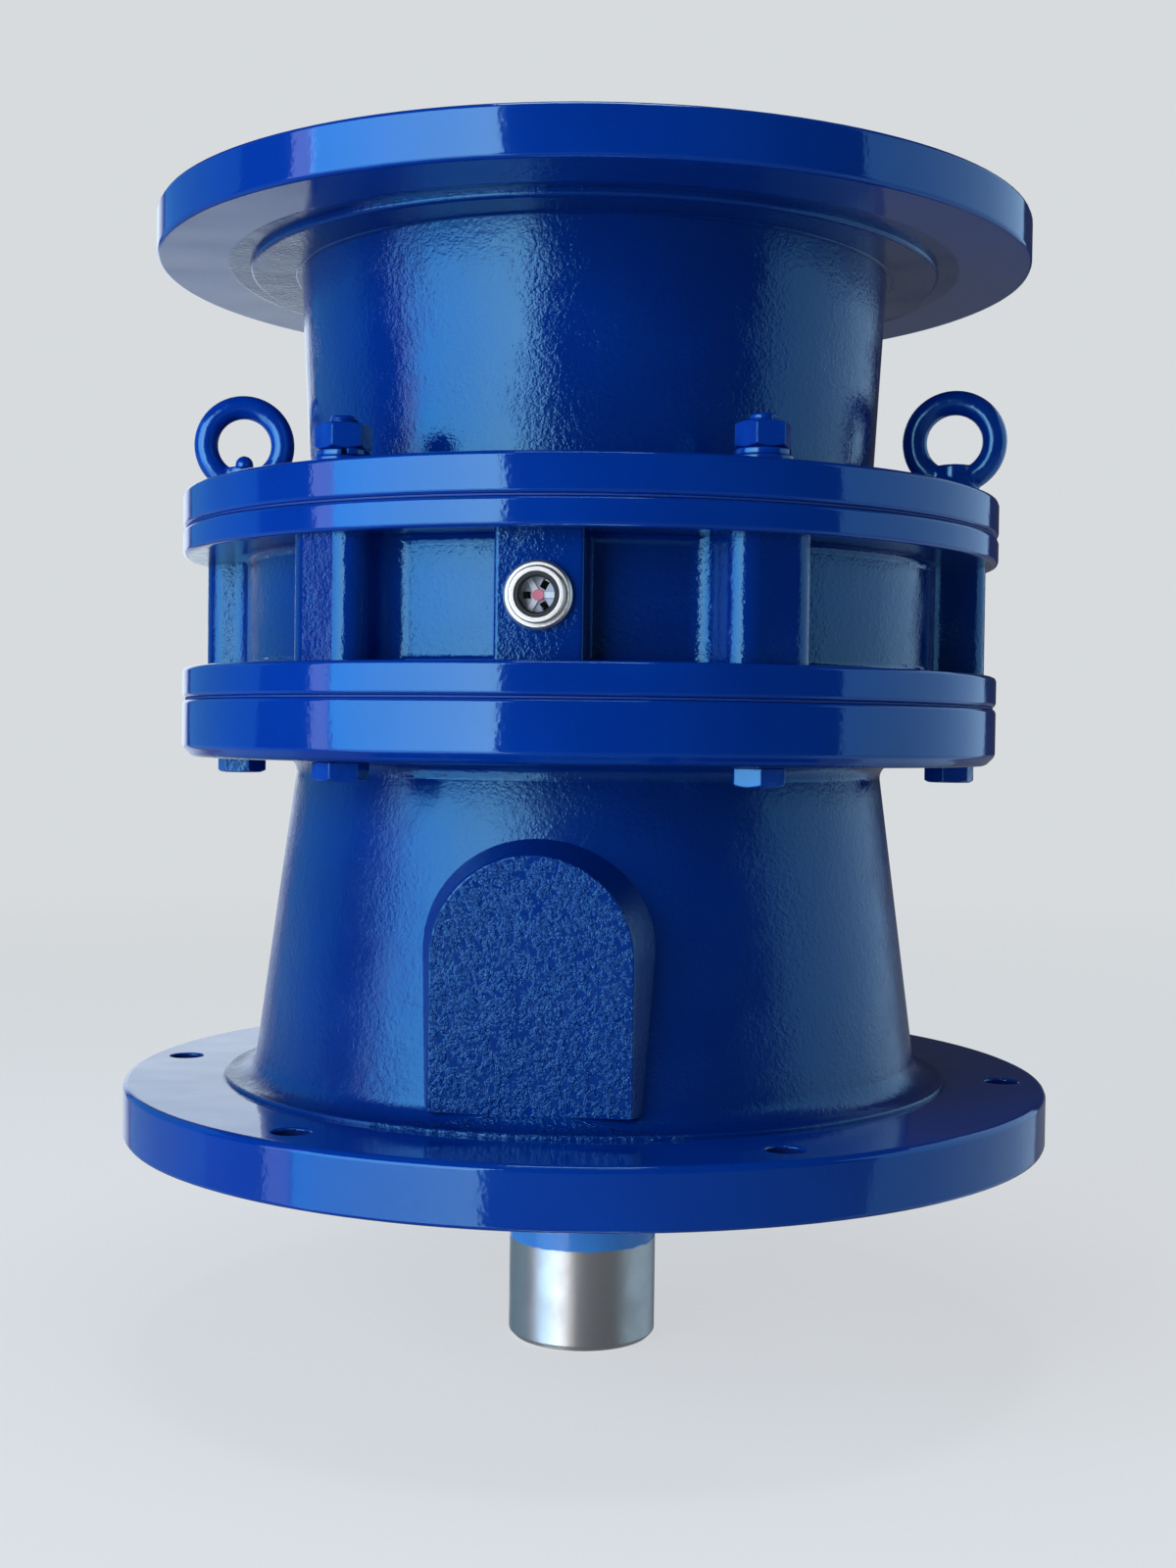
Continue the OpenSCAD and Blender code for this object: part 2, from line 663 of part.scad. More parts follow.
module eccentric_sleeve() {
    middle = disc_z + disc_t + disc_gap / 2;
    color(hard_steel) difference() {
        union() {
            translate([throw, 0, disc_z - 0.5]) cylinder(r = track_r, h = middle - disc_z + 0.5);
            translate([-throw, 0, middle]) cylinder(r = track_r, h = middle - disc_z + 0.5);
            translate([0, 0, middle]) cylinder(r = eccentric_bore_d / 2 + 4, h = shoulder_z - middle);
        }
        translate([0, 0, disc_z - 2]) cylinder(r = eccentric_bore_d / 2 + seat, h = 60);
        translate([-eccentric_key_w / 2, 0, disc_z - 2])
            cube([eccentric_key_w, eccentric_bore_d / 2 + 3.3, 60]);
    }
}

module eccentric_key() {
    color(steel) translate([-eccentric_key_w / 2 + seat, eccentric_bore_d / 2 - 4.9, disc_z + 2])
        cube([eccentric_key_w - 2 * seat, 8, key_l]);
}

// The rollers of one eccentric, standing on the level z of their disc
module rollers(z) {
    color(hard_steel) translate([0, 0, z + 1.5])
        around(eccentric_rollers, roller_circle_r, 180 / eccentric_rollers)
            cylinder(r = roller_r, h = disc_t - 3);
}

// A cage: a ring with a round pocket for each roller and a solid rim at each end
module roller_cage(z) {
    color([0.72, 0.57, 0.25]) translate([0, 0, z + cage_gap]) difference() {
        tube(roller_circle_r + 3, roller_circle_r - 3, disc_t - 2 * cage_gap);
        around(eccentric_rollers, roller_circle_r, 180 / eccentric_rollers)
            translate([0, 0, 1.2]) cylinder(r = roller_r + 0.1, h = disc_t - 2 * cage_gap - 2.4);
    }
}

module lower_eccentric_rollers() translate([throw, 0, 0]) rollers(disc_z);
module upper_eccentric_rollers() translate([-throw, 0, 0]) rollers(upper_disc_z);
module lower_eccentric_cage() translate([throw, 0, 0]) roller_cage(disc_z);
module upper_eccentric_cage() translate([-throw, 0, 0]) roller_cage(upper_disc_z);

// An open snap ring that sits in a groove of radius groove_r
module circlip(groove_r, outer_r) {
    difference() {
        tube(outer_r, groove_r + seat, circlip_t);
        translate([0, -3, -1]) cube([outer_r + 1, 6, circlip_t + 2]);
    }
}

module eccentric_circlip() color(dark_steel) translate([0, 0, disc_z - 0.5 - circlip_t])
    circlip(eccentric_bore_d / 2 - 1.3, eccentric_bore_d / 2 + 4.5);
module output_circlip() color(dark_steel) translate([0, 0, lower_bearing_z - circlip_t])
    circlip(lower_bearing[0] / 2 - 1.5, lower_bearing[0] / 2 + 5);
module input_circlip() color(dark_steel) translate([0, 0, input_bearing_z - circlip_t])
    circlip(input_bearing[0] / 2 - 1.5, input_bearing[0] / 2 + 4.5);

// Deep-groove ball bearings, size = [inner diameter, outer diameter, width, balls]
function bearing_pitch(size) = (size[0] + size[1]) / 4;
function ball_r(size) = (size[1] - size[0]) * 0.15;

module bearing_outer(size, z) {
    inner_r = bearing_pitch(size) + ball_r(size) / 2;
    color(hard_steel) translate([0, 0, z]) rotate_extrude() difference() {
        translate([inner_r, 0]) square([size[1] / 2 - inner_r, size[2]]);
        translate([bearing_pitch(size), size[2] / 2]) circle(ball_r(size) + seat);
    }
}

module bearing_inner(size, z) {
    outer_r = bearing_pitch(size) - ball_r(size) / 2;
    color(hard_steel) translate([0, 0, z]) rotate_extrude() difference() {
        translate([size[0] / 2, 0]) square([outer_r - size[0] / 2, size[2]]);
        translate([bearing_pitch(size), size[2] / 2]) circle(ball_r(size) + run);
    }
}

// The balls, and the crown-shaped cage that keeps them apart
module bearing_balls(size, z) {
    rim = ball_r(size) * 1.25;
    depth = ball_r(size) * 0.4;
    color(hard_steel) translate([0, 0, z + size[2] / 2]) {
        around(size[3], bearing_pitch(size)) sphere(ball_r(size));
        difference() {
            translate([0, 0, -depth]) tube(bearing_pitch(size) + 1.2, bearing_pitch(size) - 1.2,
                rim + depth);
            around(size[3], bearing_pitch(size)) sphere(ball_r(size) + 0.1);
        }
    }
}

module lower_bearing_outer() bearing_outer(lower_bearing, lower_bearing_z);
module lower_bearing_inner() bearing_inner(lower_bearing, lower_bearing_z);
module lower_bearing_balls() bearing_balls(lower_bearing, lower_bearing_z);
module upper_bearing_outer() bearing_outer(upper_bearing, upper_bearing_z);
module upper_bearing_inner() bearing_inner(upper_bearing, upper_bearing_z);
module upper_bearing_balls() bearing_balls(upper_bearing, upper_bearing_z);
module input_bearing_outer() bearing_outer(input_bearing, input_bearing_z);
module input_bearing_inner() bearing_inner(input_bearing, input_bearing_z);
module input_bearing_balls() bearing_balls(input_bearing, input_bearing_z);
module pilot_bearing_outer() bearing_outer(pilot_bearing, pilot_z);
module pilot_bearing_inner() bearing_inner(pilot_bearing, pilot_z);
module pilot_bearing_balls() bearing_balls(pilot_bearing, pilot_z);

module output_shaft() {
    end_z = -output_shaft_l;
    shaft_r = output_shaft_d / 2;
    seal_shaft_r = seal_shaft_d / 2;
    lower_r = lower_bearing[0] / 2 - seat;
    upper_r = upper_bearing[0] / 2 - seat;
    groove_z = lower_bearing_z - circlip_t - 0.1;
    pin_flange_r = pin_flange_d / 2;
    color(steel) difference() {
        rotate_extrude() difference() {
            polygon([[0, end_z], [shaft_r - 2, end_z], [shaft_r, end_z + 2],
                [shaft_r, -spigot_h - 4], [seal_shaft_r, -spigot_h - 2],
                [seal_shaft_r, groove_z - 1], [lower_r, groove_z - 1], [lower_r, groove_z],
                [lower_bearing[0] / 2 - 1.5, groove_z], [lower_bearing[0] / 2 - 1.5, lower_bearing_z],
                [lower_r, lower_bearing_z], [lower_r, lower_bearing_z + lower_bearing[2]],
                [upper_r - 1.5, lower_bearing_z + lower_bearing[2]], [upper_r - 1.5, upper_bearing_z],
                [upper_r, upper_bearing_z], [upper_r, upper_bearing_z + upper_bearing[2]],
                [upper_r + 6, upper_bearing_z + upper_bearing[2]], [upper_r + 6, pin_flange_z],
                [pin_flange_r - edge, pin_flange_z], [pin_flange_r, pin_flange_z + edge],
                [pin_flange_r, pin_flange_top - edge], [pin_flange_r - edge, pin_flange_top],
                [0, pin_flange_top]]);
            polygon([[0, end_z - 1], [12, end_z - 1], [12, end_z], [centre_hole_d / 2, end_z + 6],
                [centre_hole_d / 2, end_z + 40], [0, end_z + 45]]);
            translate([0, pilot_z]) square([pilot_bearing[1] / 2 + seat, 40]);
            translate([0, pilot_z - 5]) square([pilot_bearing[1] / 2 - bearing_lip, 10]);
        }
        around(output_pin_count, output_pin_circle_r, 180 / output_pin_count)
            translate([0, 0, pin_flange_z - 1]) cylinder(d = output_pin_d, h = 60);
        output_keyway();
    }
}

// The keyway is cut with an end mill, so its ends are round; it faces +Y
module output_keyway() {
    half = output_key_w / 2;
    floor_x = output_shaft_d / 2 - output_key_depth;
    rotate(output_key_angle) {
        translate([floor_x, -half, half + 3 - output_shaft_l])
            cube([20, output_key_w, output_key_l - output_key_w]);
        for (z = [half + 3, output_key_l - half + 3]) translate([floor_x, 0, z - output_shaft_l])
            rotate([0, 90, 0]) cylinder(r = half, h = 20);
    }
}

module output_pins() {
    color(hard_steel) around(output_pin_count, output_pin_circle_r, 180 / output_pin_count)
        translate([0, 0, pin_flange_z + 2])
            cylinder(r = output_pin_d / 2 - seat, h = pin_tip_z - pin_flange_z - 2);
}

module output_pin_rollers() {
    color(hard_steel) around(output_pin_count, output_pin_circle_r, 180 / output_pin_count)
        translate([0, 0, pin_flange_top + 0.2])
            tube(output_roller_r, output_pin_d / 2 + run, recess_top - pin_flange_top - 0.2);
}

module output_cover() {
    seal_r = seal_d / 2 + seat;
    register_r = lower_bearing[1] / 2 - run;
    color(blue) difference() {
        rotate_extrude() polygon([[seal_r, -spigot_h], [cover_d / 2 - 0.5, -spigot_h],
            [cover_d / 2, 0.5 - spigot_h], [cover_d / 2, cover_t - spigot_h],
            [register_r, cover_t - spigot_h], [register_r, lower_bearing_z - 0.1],
            [register_r - 6, lower_bearing_z - 0.1], [register_r - 6, cover_t - spigot_h],
            [seal_shaft_d / 2 + 4, cover_t - spigot_h], [seal_shaft_d / 2 + 4, seal_top],
            [seal_r, seal_top]]);
        around(cover_screws, cover_screw_pcd / 2) {
            translate([0, 0, -spigot_h - 1]) cylinder(r = 4.5, h = cover_t + 2);
            translate([0, 0, -spigot_h - 1]) cylinder(r = 7, h = cover_head_z + 9 + spigot_h);
        }
    }
}

module output_cover_screws() {
    color(dark_steel) around(cover_screws, cover_screw_pcd / 2)
        socket_screw(cover_screw_r - seat, cover_head_z + 8, cover_screw_tip, 6.5, 8);
}

// A socket-head screw along +Z: it runs from the seat of its head up to tip
module socket_screw(r, seat_z, tip, head_r, head_h) {
    difference() {
        union() {
            translate([0, 0, seat_z - 1]) cylinder(r = r, h = tip - seat_z + 1);
            translate([0, 0, seat_z - head_h]) cylinder(r = head_r, h = head_h);
        }
        translate([0, 0, seat_z - head_h - 1]) cylinder(r = head_r * 0.54, h = head_h / 2 + 1, $fn = 6);
    }
}

module output_seal() {
    color(rubber) rotate_extrude() polygon([[seal_d / 2, -spigot_h + 1], [seal_d / 2, seal_top],
        [seal_shaft_d / 2 + 5, seal_top], [seal_shaft_d / 2 + 5, seal_top - 5],
        [seal_shaft_d / 2 + run, seal_top - 6], [seal_shaft_d / 2 + 2, -spigot_h + 1]]);
}

module input_shaft() {
    bore_z = hub_top - motor_bore_depth;
    groove_z = disc_z - 0.6 - circlip_t;
    input_groove_z = input_bearing_z - circlip_t - 0.1;
    pilot_r = pilot_bearing[0] / 2 - seat;
    pilot_top = pilot_z + pilot_bearing[2];
    ecc_r = eccentric_bore_d / 2;
    input_r = input_bearing[0] / 2 - seat;
    hub_r = hub_d / 2;
    color(steel) difference() {
        rotate_extrude() polygon([[0, pilot_z - 1], [pilot_r - edge, pilot_z - 1], [pilot_r, pilot_z],
            [pilot_r, pilot_top], [ecc_r, pilot_top], [ecc_r, groove_z], [ecc_r - 1.3, groove_z],
            [ecc_r - 1.3, disc_z - 0.5], [ecc_r, disc_z - 0.5], [ecc_r, shoulder_z],
            [input_r, shoulder_z], [input_r, input_groove_z], [input_r - 1.5, input_groove_z],
            [input_r - 1.5, input_bearing_z], [input_r, input_bearing_z],
            [input_r, input_bearing_top], [hub_r, input_bearing_top], [hub_r, hub_top - 1.5],
            [hub_r - 1.5, hub_top], [motor_bore_d / 2 + edge, hub_top],
            [motor_bore_d / 2, hub_top - edge], [motor_bore_d / 2, bore_z], [0, bore_z - 3]]);
        translate([-motor_key_w / 2, 0, bore_z])
            cube([motor_key_w, motor_bore_d / 2 + motor_key_depth, motor_bore_depth + 1]);
        translate([-eccentric_key_w / 2, ecc_r - 5, disc_z + 2])
            cube([eccentric_key_w, 20, key_l]);
    }
}

module input_cover() {
    color(blue) difference() {
        translate([0, 0, input_bearing_top]) rotate_extrude() polygon([[input_seal_d / 2 - 4, 0],
            [bearing_boss_d / 2, 0], [bearing_boss_d / 2, input_cover_t - edge],
            [bearing_boss_d / 2 - edge, input_cover_t], [input_seal_d / 2 + seat, input_cover_t],
            [input_seal_d / 2 + seat, 1.5], [input_seal_d / 2 - 4, 1.5]]);
        around(input_cover_screws, screw_pcd / 2) translate([0, 0, input_bearing_top - 1])
            cylinder(r = input_screw_r + 0.3, h = input_cover_t + 2);
    }
}

module input_cover_screws() {
    top = input_bearing_top + input_cover_t;
    color(dark_steel) around(input_cover_screws, screw_pcd / 2) translate([0, 0, top])
        mirror([0, 0, 1]) socket_screw(input_screw_r - seat, 0, input_cover_t + 12, 5, 6);
}

module input_seal() {
    z = input_bearing_top + 1.5;
    top = input_bearing_top + input_cover_t - 0.5;
    color(rubber) rotate_extrude() polygon([[input_seal_d / 2, z], [input_seal_d / 2, top],
        [hub_d / 2 + 2, top], [hub_d / 2 + run, top - 4], [hub_d / 2 + 4, top - 3], [hub_d / 2 + 5, z]]);
}

output_housing();
ring_gear_housing();
motor_adapter();
lower_gasket();
upper_gasket();
housing_bolts();
flat_washers();
spring_washers();
housing_nuts();
eye_nut_left();
eye_nut_right();
sight_glass_body();
sight_glass_seal();
sight_glass_window();
sight_glass_reflector();
sight_glass_dot();
filler_plug();
drain_plug();
ring_pins();
ring_sleeves();
cycloid_disc_lower();
cycloid_disc_upper();
disc_spacer();
eccentric_sleeve();
eccentric_key();
lower_eccentric_rollers();
upper_eccentric_rollers();
lower_eccentric_cage();
upper_eccentric_cage();
eccentric_circlip();
output_shaft();
output_pins();
output_pin_rollers();
lower_bearing_outer();
lower_bearing_inner();
lower_bearing_balls();
upper_bearing_outer();
upper_bearing_inner();
upper_bearing_balls();
output_circlip();
output_cover();
output_cover_screws();
output_seal();
input_shaft();
input_bearing_outer();
input_bearing_inner();
input_bearing_balls();
input_circlip();
input_cover();
input_cover_screws();
input_seal();
pilot_bearing_outer();
pilot_bearing_inner();
pilot_bearing_balls();
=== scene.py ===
import math
import bmesh
import bpy
from mathutils import Matrix, Vector
from mathutils.bvhtree import BVHTree
from mathutils.interpolate import poly_3d_calc


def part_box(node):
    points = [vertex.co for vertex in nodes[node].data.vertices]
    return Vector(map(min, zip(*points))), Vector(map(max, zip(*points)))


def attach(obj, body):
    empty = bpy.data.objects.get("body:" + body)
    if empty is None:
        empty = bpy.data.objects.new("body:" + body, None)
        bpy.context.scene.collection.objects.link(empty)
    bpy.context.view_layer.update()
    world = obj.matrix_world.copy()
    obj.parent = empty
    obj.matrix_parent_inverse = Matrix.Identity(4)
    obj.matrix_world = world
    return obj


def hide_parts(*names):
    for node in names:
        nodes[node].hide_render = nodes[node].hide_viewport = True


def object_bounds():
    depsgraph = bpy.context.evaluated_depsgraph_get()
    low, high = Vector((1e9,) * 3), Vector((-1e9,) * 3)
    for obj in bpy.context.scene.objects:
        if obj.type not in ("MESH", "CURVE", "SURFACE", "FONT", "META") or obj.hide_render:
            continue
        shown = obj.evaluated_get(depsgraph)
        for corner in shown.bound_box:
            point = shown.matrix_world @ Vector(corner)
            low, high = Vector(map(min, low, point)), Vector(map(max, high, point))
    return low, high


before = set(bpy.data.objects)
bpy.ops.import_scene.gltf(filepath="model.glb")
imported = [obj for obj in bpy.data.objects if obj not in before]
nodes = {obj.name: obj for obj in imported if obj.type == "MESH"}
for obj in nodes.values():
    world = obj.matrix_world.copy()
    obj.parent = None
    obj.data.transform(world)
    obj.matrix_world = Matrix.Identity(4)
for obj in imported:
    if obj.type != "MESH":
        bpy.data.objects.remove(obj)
cad_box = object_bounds()

# ---- Output housing -------------------------------------------------------------------------
# The lower casting of grey iron: mounting flange, cone and body flange in one. It is cast in
# sand, turned on its flanges and bores, and sprayed with blue machine enamel once assembled.


def linear(hex_colour):
    """An sRGB colour such as 1F5FBF as the linear colour that a shader takes."""
    parts = [int(hex_colour[i:i + 2], 16) / 255 for i in (0, 2, 4)]
    return [p / 12.92 if p <= 0.04045 else ((p + 0.055) / 1.055) ** 2.4 for p in parts] + [1]


def add_node(tree, kind, settings=None, inputs=None):
    """Adds a node, sets its properties, and gives each input, found by number, name or identifier,
    a value, a socket, or the first output in use of another node."""
    node = tree.nodes.new(kind)
    for name, value in (settings or {}).items():
        setattr(node, name, value)
    for key, value in (inputs or {}).items():
        if isinstance(key, int):
            socket = node.inputs[key]
        else:
            socket = next(s for s in node.inputs if key in (s.identifier, s.name))
        if isinstance(value, bpy.types.Node):
            value = next(s for s in value.outputs if s.enabled)
        if isinstance(value, bpy.types.NodeSocket):
            tree.links.new(value, socket)
        else:
            socket.default_value = value
    return node


def new_material(name):
    """A material, its tree, and the object coordinates that its patterns are laid out in."""
    material = bpy.data.materials.new(name)
    material.use_nodes = True
    tree = material.node_tree
    tree.nodes.clear()
    return material, tree, tree.nodes.new("ShaderNodeTexCoord").outputs["Object"]


def finish_material(tree, shader):
    """Links the finished shader to the material's output."""
    tree.links.new(shader.outputs[0], tree.nodes.new("ShaderNodeOutputMaterial").inputs[0])


def finish_surface(tree, colour, rough, relief, more, over=(0.0, 1.0)):
    """Finishes a material. Colour, roughness and relief are each a node, or a pattern with two
    values: the roughnesses or colours that it runs between, which may be such patterns themselves,
    or the relief's strength and depth. The roughness changes over a stretch of its pattern, and
    more holds the other sockets."""

    def mixed(part):
        if isinstance(part, str):
            return linear(part)
        if isinstance(part, tuple):
            return add_node(tree, "ShaderNodeMix", {"data_type": "RGBA"}, {
                "Factor_Float": part[0], "A_Color": mixed(part[1]), "B_Color": mixed(part[2])})
        return part

    if isinstance(rough, tuple):
        rough = add_node(tree, "ShaderNodeMapRange", inputs={
            "Value": rough[0], "From Min": over[0], "From Max": over[1],
            "To Min": rough[1], "To Max": rough[2]})
    if isinstance(relief, tuple):
        relief = add_node(tree, "ShaderNodeBump", inputs={
            "Height": relief[0], "Strength": relief[1], "Distance": relief[2]})
    finish_material(tree, add_node(tree, "ShaderNodeBsdfPrincipled", inputs={
        "Base Color": mixed(colour), "Roughness": rough, "Normal": relief, **more}))


def paint_cad(material, *names):
    """Gives CAD nodes their finish."""
    for name in names:
        for slot in nodes[name].material_slots:
            slot.material = material


def per_mm(size):
    """A texture scale whose cells are this many millimetres wide."""
    return 1000 / size


def round_axis(tree, place, axis=2):
    """The three coordinates by themselves, and the distance from one of their axes."""
    xyz = add_node(tree, "ShaderNodeSeparateXYZ", inputs={0: place})
    flat = add_node(tree, "ShaderNodeCombineXYZ", inputs=dict(enumerate(
        xyz.outputs[i] for i in range(3) if i != axis)))
    return xyz, add_node(tree, "ShaderNodeVectorMath", {"operation": "LENGTH"}, {0: flat})


def merged_copy(name):
    """A closed copy of a CAD node's loose triangles, with its flat faces in one piece each."""
    shape = bmesh.new()
    shape.from_mesh(nodes[name].data)
    bmesh.ops.remove_doubles(shape, verts=shape.verts, dist=2e-6)
    nearly_flat = math.radians(0.05)
    bmesh.ops.dissolve_limit(shape, angle_limit=nearly_flat, verts=shape.verts, edges=[
        e for e in shape.edges if e.calc_face_angle(0) < nearly_flat])
    mesh = bpy.data.meshes.new(name + "_finished")
    shape.to_mesh(mesh)
    shape.free()
    piece = bpy.data.objects.new(name + "_finished", mesh)
    bpy.context.collection.objects.link(piece)
    return piece


def keep_result(piece):
    """Turns what a piece's modifiers make of it into its plain mesh."""
    bpy.context.view_layer.update()
    made = piece.evaluated_get(bpy.context.evaluated_depsgraph_get())
    mesh = bpy.data.meshes.new_from_object(made)
    piece.modifiers.clear()
    piece.data = mesh
    mesh.materials.clear()


def keep_round(piece, name):
    """Shades each corner of a piece as the CAD face it lies on, so that its turned faces stay round."""
    cad = nodes[name].data
    exact = [corner.vector for corner in cad.corner_normals]
    surface = BVHTree.FromPolygons([v.co for v in cad.vertices], [f.vertices for f in cad.polygons])
    spots = [v.co for v in piece.data.vertices]
    hair = 3e-5
    touching = [surface.find_nearest_range(spot, hair) or [surface.find_nearest(spot)] for spot in spots]
    shading = []
    for face in piece.data.polygons:
        for corner in face.vertices:
            best = max(touching[corner], key=lambda hit: hit[1].dot(face.normal))
            under = cad.polygons[best[2]]
            shares = poly_3d_calc([cad.vertices[v].co for v in under.vertices], best[0])
            shading.append(sum((exact[c] * s for c, s in zip(under.loop_indices, shares)), Vector()))
    piece.data.normals_split_custom_set([n.normalized() for n in shading])


def allow_break(piece, break_mm):
    """Weighs each sharp outer edge by the room for a break that the narrower of its faces leaves."""
    shape = bmesh.new()
    shape.from_mesh(piece.data)
    weight = shape.edges.layers.float.new("bevel_weight_edge")
    sharp, share_of_room = math.radians(30), 0.42
    for edge in shape.edges:
        if edge.is_convex and edge.calc_face_angle() > sharp:
            start = edge.verts[0].co
            along = (edge.verts[1].co - start).normalized()
            room = min(max((v.co - start).cross(along).length for v in face.verts)
                       for face in edge.link_faces)
            edge[weight] = min(1, share_of_room * room * 1000 / break_mm)
    shape.to_mesh(piece.data)
    shape.free()


def soften(name, break_mm, material, body="housing"):
    """A copy of a CAD piece whose edges are broken by this much and whose faces stay as they are."""
    piece = merged_copy(name)
    allow_break(piece, break_mm)
    edges = piece.modifiers.new("broken edges", "BEVEL")
    edges.width, edges.segments, edges.use_clamp_overlap = break_mm / 1000, 1, False
    edges.limit_method = "WEIGHT"
    keep_result(piece)
    keep_round(piece, name)
    piece.data.materials.append(material)
    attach(piece, body)
    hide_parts(name)
    return piece


# Blue alkyd enamel over cast iron, sprayed wet: deep and glossy, the sand's grain shows through it
# on the cast faces, the turned rims keep only a fine orange peel, and the raised pad, which no
# tool touched, is coarsest. Sizes here are in metres.
enamel, tree, place = new_material("machine_enamel_on_castings")
mount_top, motor_flange_low = 0.0216, 0.3125
post_radius, wide_flange_turned_from = 0.1455, 0.1345
rim_radius = (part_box("ring_gear_housing")[1][0] + post_radius) / 2
pad_face, pad_top, pad_turn = 0.1228, 0.12, math.radians(1.6)
soft_edge, sharp_edge = 0.0005, 0.0001
xyz, radius = round_axis(tree, place)
foot = add_node(tree, "ShaderNodeMath", {"operation": "LESS_THAN"}, {0: xyz.outputs[2], 1: mount_top})
head = add_node(tree, "ShaderNodeMath", {"operation": "GREATER_THAN"}, {
    0: xyz.outputs[2], 1: motor_flange_low})
plates = add_node(tree, "ShaderNodeMath", {"operation": "ADD"}, {0: foot, 1: head})
limit = add_node(tree, "ShaderNodeMapRange", inputs={
    "Value": plates, "To Min": rim_radius, "To Max": wide_flange_turned_from})
beyond = add_node(tree, "ShaderNodeMath", {"operation": "SUBTRACT"}, {0: radius, 1: limit})
machined = add_node(tree, "ShaderNodeMapRange", inputs={
    "Value": beyond, "From Min": -soft_edge, "From Max": soft_edge})
square_to_pad = add_node(tree, "ShaderNodeMapping", inputs={
    "Vector": place, "Rotation": (0.0, 0.0, pad_turn)})
across_pad = add_node(tree, "ShaderNodeSeparateXYZ", inputs={0: square_to_pad})
pad = add_node(tree, "ShaderNodeMapRange", inputs={
    "Value": across_pad.outputs[1], "From Min": -pad_face, "From Max": -pad_face - soft_edge})
below = add_node(tree, "ShaderNodeMath", {"operation": "LESS_THAN"}, {0: xyz.outputs[2], 1: pad_top})
coarse = add_node(tree, "ShaderNodeMath", {"operation": "MULTIPLY"}, {0: pad, 1: below})
# The sand's grain, the pad's lumps, the film's waves, its orange peel, and patches of thin film,
# each with the width of its cells, its detail and its roughness
sand, lumps, waves, peel, patches = [add_node(tree, "ShaderNodeTexNoise", inputs={
    "Vector": place, "Scale": per_mm(wide), "Detail": detail, "Roughness": roughness})
    for wide, detail, roughness in (
        (1.7, 2.5, 0.7), (2.6, 3.0, 0.7), (38, 1.0, 0.5), (1.8, 1.0, 0.5), (22, 3.0, 0.6))]
risen = add_node(tree, "ShaderNodeMapRange", {"interpolation_type": "SMOOTHSTEP"}, {
    "Value": lumps, "From Min": 0.44, "From Max": 0.74})
pad_depth = 0.47
some = add_node(tree, "ShaderNodeMapRange", inputs={
    "Value": patches, "From Min": 0.35, "From Max": 0.65, "To Min": 0.08, "To Max": 0.28})
cast = add_node(tree, "ShaderNodeMix", {"data_type": "FLOAT"}, {
    "Factor_Float": coarse, "A_Float": sand, "B_Float": risen})
depth = add_node(tree, "ShaderNodeMix", {"data_type": "FLOAT"}, {
    "Factor_Float": coarse, "A_Float": some, "B_Float": pad_depth})
grain = add_node(tree, "ShaderNodeMath", {"operation": "MULTIPLY"}, {0: cast, 1: depth})
skin = add_node(tree, "ShaderNodeMix", {"data_type": "FLOAT"}, {
    "Factor_Float": machined, "A_Float": grain, "B_Float": 0.0})
swell = add_node(tree, "ShaderNodeBump", inputs={"Height": waves, "Strength": 0.5, "Distance": 0.0012})
orange = add_node(tree, "ShaderNodeBump", inputs={
    "Height": peel, "Strength": 0.25, "Distance": 0.0001, "Normal": swell})
relief = add_node(tree, "ShaderNodeBump", inputs={
    "Height": skin, "Strength": 1.0, "Distance": 0.0011, "Normal": orange})
film = add_node(tree, "ShaderNodeMix", {"data_type": "RGBA"}, {
    "Factor_Float": waves, "A_Color": linear("002C84"), "B_Color": linear("003A9A")})
# The dark iron shows a little through the thin film on the cast faces
cover = add_node(tree, "ShaderNodeMapRange", inputs={"Value": machined, "To Min": 0.66, "To Max": 1.0})
shade = add_node(tree, "ShaderNodeVectorMath", {"operation": "SCALE"}, {0: film, "Scale": cover})
rub = add_node(tree, "ShaderNodeMapRange", inputs={
    "Value": patches, "From Min": 0.3, "From Max": 0.7, "To Min": 0.06, "To Max": 0.10})
# Less enamel reaches the cone under the wide flanges: its film is thinner, drier and less glossy
cone_begins, cone_dry, dulled_by = 0.134, 0.126, 0.14
cone = add_node(tree, "ShaderNodeMapRange", inputs={
    "Value": xyz.outputs[2], "From Min": cone_begins, "From Max": cone_dry})
as_cast = add_node(tree, "ShaderNodeMath", {"operation": "SUBTRACT"}, {0: 1.0, 1: machined})
dry = add_node(tree, "ShaderNodeMath", {"operation": "MULTIPLY"}, {0: cone, 1: as_cast})
drier = add_node(tree, "ShaderNodeMath", {"operation": "SUBTRACT", "use_clamp": True}, {
    0: dry, 1: coarse})
gloss = add_node(tree, "ShaderNodeMath", {"operation": "MULTIPLY_ADD"}, {0: drier, 1: dulled_by, 2: rub})
# The enamel lies thicker on the machined rims, as a clear coat over itself
thicker = 0.12
lacquer = add_node(tree, "ShaderNodeMath", {"operation": "MULTIPLY"}, {0: machined, 1: thicker})
